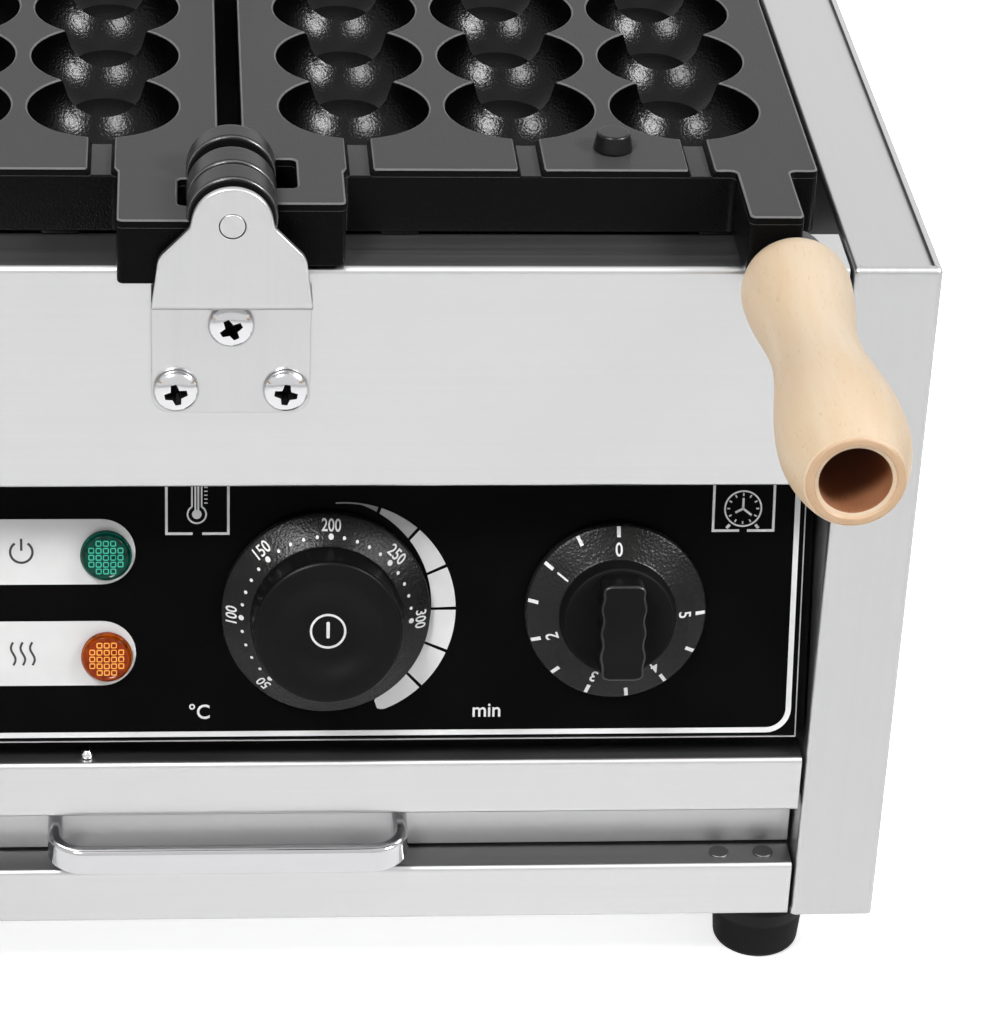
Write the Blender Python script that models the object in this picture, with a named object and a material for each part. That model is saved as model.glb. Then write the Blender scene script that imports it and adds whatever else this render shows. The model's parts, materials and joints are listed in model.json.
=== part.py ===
"""Twin pan bubble waffle baker: two cast moulds on one hinge axis over a stainless body.

Frames used below, all in metres with +Z up:
  machine frame: x from the centre plane, y back from the front face, z up from the deck
  pan frames: the machine frame raised to the hinge axis
  knob frames: z out of the sloping control panel, y up along it
"""
import math

import bmesh
import bpy
from mathutils import Matrix, Vector

# Sheet metal and general clearances
SHEET = 0.0012
FOLD_RADIUS = 0.0016
SEAT_GAP = 0.0003
PANEL_GAP = 0.0010
CUT_OVERRUN = 0.0020
FINE_EDGE = 0.0006
DRILL_CLEARANCE = 0.0006
TURN_CLEARANCE = 0.00025

# Body
BODY_WIDTH = 0.3684
BODY_DEPTH = 0.2415
BODY_HEIGHT = 0.2068
WING_WIDTH = 0.0235
FOOT_HEIGHT = 0.0215
FOOT_TOP_RADIUS = 0.0150
FOOT_BASE_RADIUS = 0.0130
FOOT_RIM = 0.0018
FOOT_INSET_X = 0.0297
FOOT_INSET_Y = 0.0197
FOOT_SCREW_RADIUS = 0.0024
FOOT_SCREW_HEAD_RADIUS = 0.0050
FOOT_SCREW_HEAD = 0.0032
FOOT_POCKET_DEPTH = 0.0080
FOOT_SCREW_STANDOUT = 0.0022

# Front fascia and rear panel
FASCIA_BELOW_MIDDLE = 0.0042
DECK_STRIP = 0.0215
WELL_LIP_GAP = 0.0050
FASCIA_RETURN = 0.0120
REAR_FOOT_RETURN = 0.0110
VENT_COUNT = 6
VENT_PITCH = 0.0120
VENT_WIDTH = 0.0036
VENT_HEIGHT = 0.0360
VENT_SIDE_INSET = 0.0747
VENT_RISE = 0.0818

# Sloping control panel
PANEL_LAP = 0.0071
PANEL_FOOT_GAP = 0.0060
PANEL_TOP_SETBACK = 0.0232
PANEL_BOTTOM_SETBACK = 0.0016
PANEL_FLANGE = 0.0110

# Baffle that parts the electrics from the well
BAFFLE_SETBACK = 0.0640
BAFFLE_SHELF_GAP = 0.0030
BAFFLE_ROOF_GAP = 0.0020
BAFFLE_ROOF_RISE = 0.0150
BAFFLE_SHELF_FRONT = 0.0160

# Crumb tray, its front and its bow handle
BAR_HEIGHT = 0.0177
BAR_FLANGE = 0.0150
RECESS = 0.0108
RECESS_HEIGHT = 0.0183
RAIL_HEIGHT = 0.0178
RAIL_FLANGE = 0.0180
TRAY_FLOOR_GAP = 0.0008
TRAY_SIDE_GAP = 0.0127
TRAY_LENGTH = 0.2120
TRAY_RIM_GAP = 0.0060
TRAY_RIM = 0.0075
TRAY_CORNER = 0.0040
RUNNER_THICKNESS = 0.0015
RUNNER_HEIGHT = 0.0200
RUNNER_START = 0.0300
RUNNER_LEDGE = 0.0100
BOW_WIDTH = 0.1006
BOW_BAND = 0.0080
BOW_THICKNESS = 0.0042
BOW_REACH = 0.0203
BOW_BEND = 0.0150
BOW_SCREW_RADIUS = 0.0012
BOW_SCREW_HEAD_RADIUS = 0.0038
BOW_SCREW_HEAD = 0.0022
BOW_SCREW_DEPTH = 0.0060
STOP_RIVET_X = -0.0390
STOP_RIVET_SETBACK = 0.0042
STOP_RIVET_RADIUS = 0.0018
STOP_RIVET_HEIGHT = 0.0022
RAIL_RIVET_RADIUS = 0.00285
RAIL_RIVET_HEIGHT = 0.0004
RAIL_RIVET_SPACING = 0.0126
RAIL_RIVET_SETBACK = 0.0060

# Hinge
AXIS_HEIGHT = 0.01945
PIN_RADIUS = 0.00325
PIN_BORE_RADIUS = 0.0018
KNUCKLE_RADIUS = 0.0115
KNUCKLE_CHAMFER = 0.0010
BRACKET_SHEET = 0.0020
BRACKET_HALF_WIDTH = 0.0205
BRACKET_FRONT = -0.0156
BRACKET_SHELF_DROP = 0.0050
BRACKET_BOTTOM_DROP = 0.0410
BRACKET_CORNER = 0.0050
BRACKET_TOP_RADIUS = 0.0110
BRACKET_SHOULDER_HALF = 0.0178
BRACKET_SHOULDER_DROP = 0.0075
BRACKET_SCREW_X = 0.0142
BRACKET_SCREW_LOW_DROP = 0.0340
BRACKET_SCREW_HIGH_DROP = 0.0150
SCREW_RADIUS = 0.0024
SCREW_HEAD_RADIUS = 0.0060
SCREW_HEAD = 0.0031
SCREW_GRIP = 0.0060
WASHER_RADIUS = 0.0070
WASHER_THICKNESS = 0.0012

# Moulds
PAN_INNER = 0.0031
PAN_SIDE_GAP = 0.0082
PAN_FRONT = 0.0185
PAN_THICKNESS = 0.0180
PAN_TOP_GAP = 0.00025
BLOCK_INSET = 0.0060
BLOCK_END_INSET = 0.0125
BLOCK_DEPTH = 0.0245
BALL_RADIUS = 0.0200
BALL_PITCH = 0.0333
BALL_COUNT = 5
STRING_PITCH = 0.04435
FIRST_STRING = 0.0333
STRING_MARGIN = 0.0300
FIRST_BALL = 0.0577
GROOVE_WIDTH = 0.0070
GROOVE_FLOOR = 0.0050
GROOVE_DEPTH = 0.0022
PEG_OFFSET = 0.0220
PEG_SETBACK = 0.0314
PEG_BASE_RADIUS = 0.00525
PEG_TOP_RADIUS = 0.00425
PEG_HEIGHT = 0.0050
PEG_ROOT = 0.0030
PEG_ROOT_RADIUS = 0.0030
SOCKET_CLEARANCE = 0.0008
REST_PAD_WIDTH = 0.0100
REST_PAD_INSET = 0.0200

# Hinge lugs of the two moulds
LUG_OUTER = 0.0290
LUG_INNER = 0.0080
LEFT_LUG_FRONT = -0.0116
RIGHT_LUG_FRONT = -0.0017
LEFT_KNUCKLE_BACK = -0.0026
LEFT_SLOT_BACK = 0.0129
LEFT_SLOT_SIDE = 0.0136
LEFT_REAR_KNUCKLE_BACK = 0.0210
RIGHT_KNUCKLE_BACK = 0.0077
RIGHT_SLOT_BACK = 0.0247
RIGHT_SLOT_SIDE = 0.0168

# Handle lug and turned handle
HANDLE_LUG_WIDTH = 0.0140
HANDLE_LUG_INSET = 0.0075
HANDLE_LUG_FRONT = -0.0088
HANDLE_OFFSET = 0.0024
HANDLE_DROP = 0.0168
HANDLE_BOSS_RADIUS = 0.0100
HANDLE_BOSS_BACK = -0.0012
HANDLE_START = -0.0094
HANDLE_LENGTH = 0.1049
HANDLE_ROOT_RADIUS = 0.0140
HANDLE_WAIST_RADIUS = 0.0112
HANDLE_SWELL_RADIUS = 0.0157
HANDLE_END_RADIUS = 0.0118
HANDLE_POCKET_RADIUS = 0.0086
HANDLE_POCKET_DEPTH = 0.0420
ROD_RADIUS = 0.0040
ROD_THREAD = 0.0068
NUT_RADIUS = 0.0075
NUT_HEIGHT = 0.0065
ROD_TIP = 0.0030

# Heaters under the moulds
HEATER_RADIUS = 0.00325
HEATER_BEND = 0.0140
HEATER_INSET = 0.0340
COVER_DEPTH = 0.0105
COVER_CORNER = 0.0030
COVER_FLANGE = 0.0120
COVER_SCREW_HEAD_RADIUS = 0.0030
COVER_SCREW_HEAD = 0.0026

# Controls, measured along the sloping panel
KNOB_RISE = 0.0373
KNOB_SPACING = 0.0794
TIMER_INSET = 0.0540
SKIRT_RADIUS = 0.0289
SKIRT_HEIGHT = 0.0100
SKIRT_EDGE = 0.0020
KNOB_BARREL_RADIUS = 0.0200
KNOB_HEIGHT = 0.0205
KNOB_DISH = 0.0022
TIMER_SKIRT_RADIUS = 0.0250
TIMER_SKIRT_HEIGHT = 0.0070
TIMER_HUB_RADIUS = 0.0152
TIMER_HUB_HEIGHT = 0.0125
GRIP_WIDTH = 0.0120
GRIP_LENGTH = 0.0270
GRIP_HEIGHT = 0.0220
SHAFT_RADIUS = 0.0030
SHAFT_OUT = 0.0065
SHAFT_IN = 0.0150
KNOB_STANDOFF = 0.0010
LAMP_SPACING = 0.0595
LAMP_GREEN_RISE = 0.0157
LAMP_AMBER_FALL = 0.0125
LAMP_RADIUS = 0.0070
LAMP_HEIGHT = 0.0035
LAMP_BARREL_RADIUS = 0.0052
LAMP_BARREL = 0.0200
CONTROL_BODY = 0.0360
CONTROL_BODY_DEPTH = 0.0200
CONTROL_BUSH_RADIUS = 0.0048
TERMINAL_LENGTH = 0.0480
TERMINAL_WIDTH = 0.0180
TERMINAL_HEIGHT = 0.0160
TERMINAL_INSET = 0.0547
TERMINAL_WAYS = 4
TERMINAL_SLOT = 0.0060
TERMINAL_SLOT_WIDTH = 0.0070
GLAND_INSET = 0.0397
GLAND_RISE = 0.0318
GLAND_RADIUS = 0.0085
GLAND_FLANGE_RADIUS = 0.0110
GLAND_FLANGE = 0.0030
GLAND_REACH = 0.0130
GLAND_BORE_RADIUS = 0.0042
GLAND_INSIDE = 0.0080
GLAND_NUT_RADIUS = 0.0115
GLAND_NUT = 0.0040

# Values worked out from the sizes above
DECK_Z = FOOT_HEIGHT + BODY_HEIGHT
HALF_WIDTH = BODY_WIDTH / 2
INNER_HALF = HALF_WIDTH - WING_WIDTH
SPAN_HALF = INNER_HALF - PANEL_GAP
PAN_OUTER = INNER_HALF - PAN_SIDE_GAP
HANDLE_LUG_OUTER = PAN_OUTER - HANDLE_LUG_INSET
HANDLE_LUG_INNER = HANDLE_LUG_OUTER - HANDLE_LUG_WIDTH
HANDLE_X = HANDLE_LUG_OUTER - HANDLE_OFFSET
TRAY_HALF_WIDTH = INNER_HALF - TRAY_SIDE_GAP
TIMER_X = SPAN_HALF - TIMER_INSET
THERMOSTAT_X = TIMER_X - KNOB_SPACING
LAMP_X = THERMOSTAT_X - LAMP_SPACING
TERMINAL_X = TERMINAL_INSET - SPAN_HALF
GLAND_X = SPAN_HALF - GLAND_INSET
VENT_CENTRE_X = SPAN_HALF - VENT_SIDE_INSET
HANDLE_REACH = HANDLE_LENGTH - HANDLE_START
REAR_REACH = BODY_DEPTH - BRACKET_FRONT
FRONT_Y = (HANDLE_REACH - REAR_REACH) / 2
RAIL_TOP_DROP = BODY_HEIGHT - RAIL_HEIGHT
BAR_BOTTOM_DROP = RAIL_TOP_DROP - RECESS_HEIGHT
BAR_TOP_DROP = BAR_BOTTOM_DROP - BAR_HEIGHT
TRAY_RIM_DROP = BAR_TOP_DROP + TRAY_RIM_GAP
PANEL_BOTTOM_DROP = BAR_TOP_DROP - PANEL_FOOT_GAP
KNOB_DROP = PANEL_BOTTOM_DROP - KNOB_RISE
LAMP_GREEN_DROP = KNOB_DROP - LAMP_GREEN_RISE
LAMP_AMBER_DROP = KNOB_DROP + LAMP_AMBER_FALL
FASCIA_HEIGHT = (BRACKET_BOTTOM_DROP + KNOB_DROP - SKIRT_RADIUS) / 2 + FASCIA_BELOW_MIDDLE
PANEL_TOP_DROP = FASCIA_HEIGHT - PANEL_LAP
BAFFLE_ROOF_DROP = PANEL_TOP_DROP + BAFFLE_ROOF_GAP
BAFFLE_SHELF_DROP = BAR_TOP_DROP - BAFFLE_SHELF_GAP
WELL_LIP = BAFFLE_ROOF_DROP - BAFFLE_ROOF_RISE - WELL_LIP_GAP
VENT_CENTRE_DROP = BODY_HEIGHT - VENT_RISE
GLAND_DROP = BODY_HEIGHT - GLAND_RISE
PAN_REAR = BODY_DEPTH - PAN_FRONT
PAN_TOP = -PAN_TOP_GAP
PAN_BOTTOM = PAN_TOP - PAN_THICKNESS
BLOCK_BOTTOM = PAN_TOP - BLOCK_DEPTH
PANEL_TILT = math.atan2(PANEL_TOP_SETBACK - PANEL_BOTTOM_SETBACK, PANEL_BOTTOM_DROP - PANEL_TOP_DROP)
TRAY_FLOOR_DROP = RAIL_TOP_DROP - TRAY_FLOOR_GAP
FOOT_X = HALF_WIDTH - FOOT_INSET_X
GRIP_END_SHARE = 0.10
GRIP_TIP_SHARE = 0.55
GRIP_WAVE_SHARE = 0.05
GRIP_WAVES = 4
HANDLE_NOSE_SHARE = 0.62
BRACKET_WAIST_SHARE = 0.70
COVER_SCREW_FLAT_SHARE = 0.6
SCREW_DOME_SHARES = ((1, 0), (0.92, 0.40), (0.60, 0.84), (0, 1))
BOW_CROWN_SHARES = ((1, 1), (0.5, 0.2), (0, 0), (-0.5, 0.2), (-1, 1))
KNOB_DISH_SHARES = ((0.70, 0.6), (0.35, 1), (0, 1))
LAMP_DOME_SHARES = ((0, 1), (0.55, 0.94), (0.86, 0.72), (1, 0.40))
HANDLE_STATION_SHARES = (0.09, 0.40, 0.82, 1.00)
HANDLE_SHARES = (0, 0.012, 0.04, 0.09, 0.17, 0.25, 0.33, 0.40, 0.48, 0.56, 0.64, 0.72, 0.82, 0.89, 0.95, 1.00)
STRING_COUNT = 1 + math.floor((PAN_OUTER - STRING_MARGIN - FIRST_STRING) / STRING_PITCH)
STRINGS = [FIRST_STRING + STRING_PITCH * i for i in range(STRING_COUNT)]
PEG_X = STRINGS[-1] - PEG_OFFSET

COLOURS = {
    "brushed_steel": ((0.78, 0.78, 0.79), 0.35, 1.0),
    "chrome": ((0.86, 0.87, 0.88), 0.10, 1.0),
    "cast_black": ((0.030, 0.030, 0.032), 0.38, 0.0),
    "wood": ((0.83, 0.66, 0.46), 0.55, 0.0),
    "black_plastic": ((0.018, 0.018, 0.019), 0.45, 0.0),
    "panel_black": ((0.010, 0.010, 0.011), 0.30, 0.0),
    "rubber": ((0.020, 0.020, 0.020), 0.80, 0.0),
    "green_lens": ((0.02, 0.30, 0.17), 0.15, 0.0),
    "amber_lens": ((0.85, 0.22, 0.04), 0.15, 0.0),
    "ceramic": ((0.80, 0.79, 0.75), 0.60, 0.0),
}


def clear_scene():
    """Remove whatever the file holds."""
    for obj in list(bpy.data.objects):
        bpy.data.objects.remove(obj, do_unlink=True)


def material(slot):
    """Principled material of one finish, made once."""
    if slot in bpy.data.materials:
        return bpy.data.materials[slot]
    colour, roughness, metallic = COLOURS[slot]
    made = bpy.data.materials.new(slot)
    made.use_nodes = True
    shader = made.node_tree.nodes["Principled BSDF"]
    shader.inputs["Base Color"].default_value = (*colour, 1)
    shader.inputs["Roughness"].default_value = roughness
    shader.inputs["Metallic"].default_value = metallic
    return made


def carrier(name, place, turn=0.0):
    """Empty that carries the pieces of one moving group."""
    empty = bpy.data.objects.new(name, None)
    bpy.context.scene.collection.objects.link(empty)
    empty.location = place
    empty.rotation_euler = (turn, 0, 0)
    return empty


def add_object(name, bm, slot, parent, smooth=False):
    """Give a bmesh its object, material and carrier."""
    bmesh.ops.recalc_face_normals(bm, faces=bm.faces)
    mesh = bpy.data.meshes.new(name)
    bm.to_mesh(mesh)
    bm.free()
    if smooth:
        mesh.shade_smooth()
        mesh.set_sharp_from_angle(angle=math.radians(35))
    obj = bpy.data.objects.new(name, mesh)
    bpy.context.scene.collection.objects.link(obj)
    obj.parent = parent
    if slot:
        mesh.materials.append(material(slot))
    return obj


def add_box(bm, low, high):
    """Box between two corners."""
    centre = (Vector(low) + Vector(high)) / 2
    size = Vector(high) - Vector(low)
    matrix = Matrix.Translation(centre) @ Matrix.Diagonal((*size, 1))
    return bmesh.ops.create_cube(bm, size=1, matrix=matrix)["verts"]


def add_prism(bm, outline, axis, start, end):
    """Extrude an outline of (a, b) points along x, y or z from start to end."""
    def point(a, b, along):
        return {"x": (along, a, b), "y": (a, along, b), "z": (a, b, along)}[axis]
    base = bm.faces.new([bm.verts.new(point(a, b, start)) for a, b in outline])
    walls = bmesh.ops.extrude_face_region(bm, geom=[base])["geom"]
    moved = [item for item in walls if isinstance(item, bmesh.types.BMVert)]
    bmesh.ops.translate(bm, verts=moved, vec=Vector(point(0, 0, end - start)))
    return moved


def add_turned(bm, profile, steps, centre=(0, 0, 0), axis="z", phase=0.0):
    """Turn a closed profile of (radius, along) points about an axis.

    Points at radius 0 close the solid on its axis; a profile that starts and
    ends off the axis is joined up as a ring.
    """
    rings = []
    for radius, along in profile:
        count = steps if radius > 0 else 1
        ring = []
        for i in range(count):
            angle = phase + math.tau * i / steps
            a, b = radius * math.cos(angle), radius * math.sin(angle)
            spot = {"z": (a, b, along), "y": (a, along, b), "x": (along, a, b)}[axis]
            ring.append(bm.verts.new(Vector(centre) + Vector(spot)))
        rings.append(ring)
    closed = profile[0][0] > 0 and profile[-1][0] > 0
    pairs = list(zip(rings, rings[1:] + rings[:1])) if closed else list(zip(rings, rings[1:]))
    for first, second in pairs:
        for i in range(steps):
            j = (i + 1) % steps
            corners = [first[i % len(first)], first[j % len(first)],
                       second[j % len(second)], second[i % len(second)]]
            bm.faces.new(list(dict.fromkeys(corners)))


def add_disc(bm, radius, start, end, steps, centre=(0, 0, 0), axis="z", phase=0.0):
    """Plain cylinder between two places on its axis."""
    add_turned(bm, [(0, start), (radius, start), (radius, end), (0, end)], steps, centre, axis, phase)


def boolean(obj, cutter, operation="DIFFERENCE"):
    """Boolean modifier whose other solid is left out of the part."""
    cutter.hide_render = True
    cutter.display_type = "WIRE"
    step = obj.modifiers.new(cutter.name, "BOOLEAN")
    step.object = cutter
    step.operation = operation
    step.solver = "EXACT"
    return step


def guide(name, parent, build):
    """Cutter or joined solid, filled in by build(bm)."""
    bm = bmesh.new()
    build(bm)
    return add_object(name, bm, None, parent)


def bevel(obj, width, segments=1, angle=35):
    """Round the edges that turn by more than an angle."""
    step = obj.modifiers.new("rounded_edges", "BEVEL")
    step.width = width
    step.segments = segments
    step.limit_method = "ANGLE"
    step.angle_limit = math.radians(angle)
    return step


def folded_sheet(name, outline, half_width, parent, slot="brushed_steel", sheet=SHEET, fold=FOLD_RADIUS):
    """Sheet folded along an outline of (y, z) points and as wide as the body bay.

    The metal lies to the left of the outline as it is walked, with y drawn to the
    right and z up.
    """
    bm = bmesh.new()
    rows = [[bm.verts.new((x, y, z)) for y, z in outline] for x in (-half_width, half_width)]
    for i in range(len(outline) - 1):
        bm.faces.new((rows[0][i], rows[1][i], rows[1][i + 1], rows[0][i + 1]))
    mesh = bpy.data.meshes.new(name)
    bm.to_mesh(mesh)
    bm.free()
    obj = bpy.data.objects.new(name, mesh)
    bpy.context.scene.collection.objects.link(obj)
    obj.parent = parent
    mesh.materials.append(material(slot))
    bevel(obj, fold, 2)
    wall = obj.modifiers.new("sheet", "SOLIDIFY")
    wall.thickness = sheet
    wall.offset = 1
    wall.use_even_offset = True
    return obj


def arc(centre, radius, start, end, steps):
    """Points on an arc, angles in degrees."""
    angles = [math.radians(start + (end - start) * i / steps) for i in range(steps + 1)]
    return [(centre[0] + radius * math.cos(t), centre[1] + radius * math.sin(t)) for t in angles]


def bend(start, middle, end, steps):
    """Quadratic curve through a fillet, without its two end points."""
    points = []
    for i in range(1, steps):
        t = i / steps
        weights = ((1 - t) ** 2, 2 * t * (1 - t), t ** 2)
        points.append(tuple(sum(w * p[k] for w, p in zip(weights, (start, middle, end))) for k in (0, 1)))
    return points


def screws(names, places, axis, profile, steps, parent, slot="chrome"):
    """Like fasteners that share one mesh turned from a profile of (radius, along) points."""
    mesh = None
    for name, place in zip(names, places):
        if mesh is None:
            bm = bmesh.new()
            add_turned(bm, profile, steps, axis=axis)
            screw = add_object(name, bm, slot, parent, True)
            mesh = screw.data
        else:
            screw = bpy.data.objects.new(name, mesh)
            bpy.context.scene.collection.objects.link(screw)
            screw.parent = parent
        screw.location = place


def headed(shank, head_radius, head, depth, sign=1):
    """Profile of a domed screw: the shank runs from 0 to depth, the head the other way."""
    dome = [(head_radius * across, -sign * head * up) for across, up in SCREW_DOME_SHARES]
    return [(0, sign * depth), (shank, sign * depth), (shank, 0), *dome]


def wing(name, side, parent):
    """Side panel: a folded box, open below."""
    bm = bmesh.new()
    inner, outer = side * INNER_HALF, side * HALF_WIDTH
    low = (min(inner, outer), 0, -BODY_HEIGHT)
    high = (max(inner, outer), BODY_DEPTH, 0)
    add_box(bm, low, high)
    bmesh.ops.recalc_face_normals(bm, faces=bm.faces)
    away = [f for f in bm.faces if f.normal.z < -0.5]
    bmesh.ops.delete(bm, geom=away, context="FACES")
    mesh = bpy.data.meshes.new(name)
    bm.to_mesh(mesh)
    bm.free()
    obj = bpy.data.objects.new(name, mesh)
    bpy.context.scene.collection.objects.link(obj)
    obj.parent = parent
    mesh.materials.append(material("brushed_steel"))
    bevel(obj, FOLD_RADIUS, 2)
    wall = obj.modifiers.new("sheet", "SOLIDIFY")
    wall.thickness = SHEET
    wall.offset = -1
    wall.use_even_offset = True
    return obj


def bracket_screw_places(face):
    """The three screws of a hinge bracket, on a face at this depth."""
    low = [(side * BRACKET_SCREW_X, face, -BRACKET_SCREW_LOW_DROP) for side in (-1, 1)]
    return low + [(0, face, -BRACKET_SCREW_HIGH_DROP)]


def drill(name, target, places, axis, radius, start, end, steps=10):
    """One cutter of separate drills through a piece."""
    def build(bm):
        for place in places:
            add_disc(bm, radius, start, end, steps, place, axis)
    cutter = guide(name, target.parent, build)
    return boolean(target, cutter)


def body_shell(parent):
    """Wings, fascia, rear panel, base and the baffle round the electrics."""
    for side, word in ((-1, "left"), (1, "right")):
        wing(f"side_panel_{word}", side, parent)
    fascia = folded_sheet("front_fascia", [
        (DECK_STRIP, -WELL_LIP), (DECK_STRIP, 0), (0, 0),
        (0, -FASCIA_HEIGHT), (FASCIA_RETURN, -FASCIA_HEIGHT)], SPAN_HALF, parent)
    drill("fascia_holes", fascia, bracket_screw_places(0), "y", SCREW_RADIUS + DRILL_CLEARANCE,
          -CUT_OVERRUN, SHEET + CUT_OVERRUN)
    rear = folded_sheet("rear_panel", [
        (BODY_DEPTH - REAR_FOOT_RETURN, -BODY_HEIGHT + SHEET + SEAT_GAP),
        (BODY_DEPTH, -BODY_HEIGHT + SHEET + SEAT_GAP), (BODY_DEPTH, 0),
        (BODY_DEPTH - DECK_STRIP, 0), (BODY_DEPTH - DECK_STRIP, -WELL_LIP)], SPAN_HALF, parent)
    drill("rear_holes", rear, bracket_screw_places(BODY_DEPTH), "y", SCREW_RADIUS + DRILL_CLEARANCE,
          -SHEET - CUT_OVERRUN, CUT_OVERRUN)
    drill("gland_hole", rear, [(GLAND_X, BODY_DEPTH, -GLAND_DROP)], "y", GLAND_RADIUS + SEAT_GAP,
          -SHEET - CUT_OVERRUN, CUT_OVERRUN, 16)
    boolean(rear, guide("vent_slots", parent, vent_slots))
    base_plate(parent)
    folded_sheet("inner_baffle", [
        (DECK_STRIP + SHEET, -BAFFLE_ROOF_DROP + BAFFLE_ROOF_RISE), (BAFFLE_SETBACK, -BAFFLE_ROOF_DROP),
        (BAFFLE_SETBACK, -BAFFLE_SHELF_DROP), (BAFFLE_SHELF_FRONT, -BAFFLE_SHELF_DROP)],
        SPAN_HALF, parent)


def vent_slots(bm):
    """Two banks of upright slots with round ends through the rear panel."""
    reach = VENT_HEIGHT / 2 - VENT_WIDTH / 2
    for side in (-1, 1):
        for i in range(VENT_COUNT):
            x = side * VENT_CENTRE_X + (i - (VENT_COUNT - 1) / 2) * VENT_PITCH
            outline = arc((x, -VENT_CENTRE_DROP + reach), VENT_WIDTH / 2, 0, 180, 3)
            outline += arc((x, -VENT_CENTRE_DROP - reach), VENT_WIDTH / 2, 180, 360, 3)
            add_prism(bm, outline, "y", BODY_DEPTH - SHEET - CUT_OVERRUN, BODY_DEPTH + CUT_OVERRUN)


def base_plate(parent):
    """Floor of the body with the front rail folded up from it."""
    base = folded_sheet("base_plate", [
        (RAIL_FLANGE, -RAIL_TOP_DROP), (0, -RAIL_TOP_DROP), (0, -BODY_HEIGHT),
        (BODY_DEPTH - SHEET - SEAT_GAP, -BODY_HEIGHT)], SPAN_HALF, parent)
    drill("foot_holes", base, foot_places(-BODY_HEIGHT), "z", FOOT_SCREW_RADIUS + DRILL_CLEARANCE,
          -CUT_OVERRUN, SHEET + CUT_OVERRUN)

    def rivets(m):
        for side in (-1, 1):
            for step in (0, 1):
                x = side * (FOOT_X - FOOT_SCREW_RADIUS - step * RAIL_RIVET_SPACING)
                add_disc(m, RAIL_RIVET_RADIUS, -SHEET / 2, RAIL_RIVET_HEIGHT, 14,
                         (x, RAIL_RIVET_SETBACK, -RAIL_TOP_DROP))
    boolean(base, guide("rail_rivets", parent, rivets), "UNION")


def foot_places(height):
    """Centres of the four feet at one height."""
    rows = (FOOT_INSET_Y, BODY_DEPTH - FOOT_INSET_Y)
    return [(side * FOOT_X, y, height) for y in rows for side in (-1, 1)]


def feet(parent):
    """Tapered rubber feet, each pocketed for its screw."""
    top = -BODY_HEIGHT - SEAT_GAP
    floor = -BODY_HEIGHT - FOOT_HEIGHT
    bore = FOOT_SCREW_RADIUS + DRILL_CLEARANCE
    pocket = FOOT_SCREW_HEAD_RADIUS + DRILL_CLEARANCE
    profile = [(bore, top), (FOOT_TOP_RADIUS, top), (FOOT_BASE_RADIUS, floor + FOOT_RIM),
               (FOOT_BASE_RADIUS - FOOT_RIM, floor), (pocket, floor), (pocket, floor + FOOT_POCKET_DEPTH),
               (bore, floor + FOOT_POCKET_DEPTH)]
    names = ("foot_front_left", "foot_front_right", "foot_rear_left", "foot_rear_right")
    for name, place in zip(names, foot_places(0)):
        bm = bmesh.new()
        add_turned(bm, profile, 12, place)
        add_object(name, bm, "rubber", parent, True)
    seat = floor + FOOT_POCKET_DEPTH - SEAT_GAP
    tip = -BODY_HEIGHT + SHEET + FOOT_SCREW_STANDOUT - seat
    shape = headed(FOOT_SCREW_RADIUS, FOOT_SCREW_HEAD_RADIUS, FOOT_SCREW_HEAD, tip)
    names = ["foot_screw_" + name[5:] for name in names]
    screws(names, foot_places(seat), "z", shape, 10, parent)


def hinge_bracket(name, parent, mirrored):
    """Z bent plate whose rounded upper ear carries the hinge pin."""
    low, high = -BRACKET_BOTTOM_DROP, AXIS_HEIGHT
    back = -SEAT_GAP - BRACKET_SHEET

    def depth(value):
        return BODY_DEPTH - value if mirrored else value

    section = [(BRACKET_FRONT, high + BRACKET_TOP_RADIUS + CUT_OVERRUN),
               (BRACKET_FRONT, -BRACKET_SHELF_DROP), (back, -BRACKET_SHELF_DROP),
               (back, low - CUT_OVERRUN), (-SEAT_GAP, low - CUT_OVERRUN),
               (-SEAT_GAP, -BRACKET_SHELF_DROP + BRACKET_SHEET),
               (BRACKET_FRONT + BRACKET_SHEET, -BRACKET_SHELF_DROP + BRACKET_SHEET),
               (BRACKET_FRONT + BRACKET_SHEET, high + BRACKET_TOP_RADIUS + CUT_OVERRUN)]
    bm = bmesh.new()
    half = BRACKET_HALF_WIDTH + CUT_OVERRUN
    add_prism(bm, [(depth(y), z) for y, z in section], "x", -half, half)
    bracket = add_object(name, bm, "brushed_steel", parent)
    ear_end = arc((0, high), BRACKET_TOP_RADIUS, -12, 90, 6)
    shoulder = (BRACKET_SHOULDER_HALF, high - BRACKET_SHOULDER_DROP)
    waist = (BRACKET_TOP_RADIUS, high - BRACKET_SHOULDER_DROP * BRACKET_WAIST_SHARE)
    right = arc((BRACKET_HALF_WIDTH - BRACKET_CORNER, low + BRACKET_CORNER), BRACKET_CORNER, -90, 0, 3)
    right += [(BRACKET_HALF_WIDTH, -BRACKET_SHELF_DROP), shoulder]
    right += bend(shoulder, waist, ear_end[0], 4) + ear_end
    outline = right + [(-x, z) for x, z in reversed(right[:-1])]
    ends = (BRACKET_FRONT - CUT_OVERRUN, CUT_OVERRUN)
    cutter = guide(f"{name}_outline", parent,
                   lambda m: add_prism(m, outline, "y", depth(ends[0]), depth(ends[1])))
    boolean(bracket, cutter, "INTERSECT")
    through = (depth(back - CUT_OVERRUN), depth(CUT_OVERRUN - SEAT_GAP))
    drill(f"{name}_screw_holes", bracket, bracket_screw_places(0), "y",
          SCREW_RADIUS + DRILL_CLEARANCE, min(through), max(through))
    ear = (depth(BRACKET_FRONT - CUT_OVERRUN), depth(BRACKET_FRONT + BRACKET_SHEET + CUT_OVERRUN))
    drill(f"{name}_pin_hole", bracket, [(0, 0, AXIS_HEIGHT)], "y", PIN_RADIUS + SEAT_GAP,
          min(ear), max(ear), 16)


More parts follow.
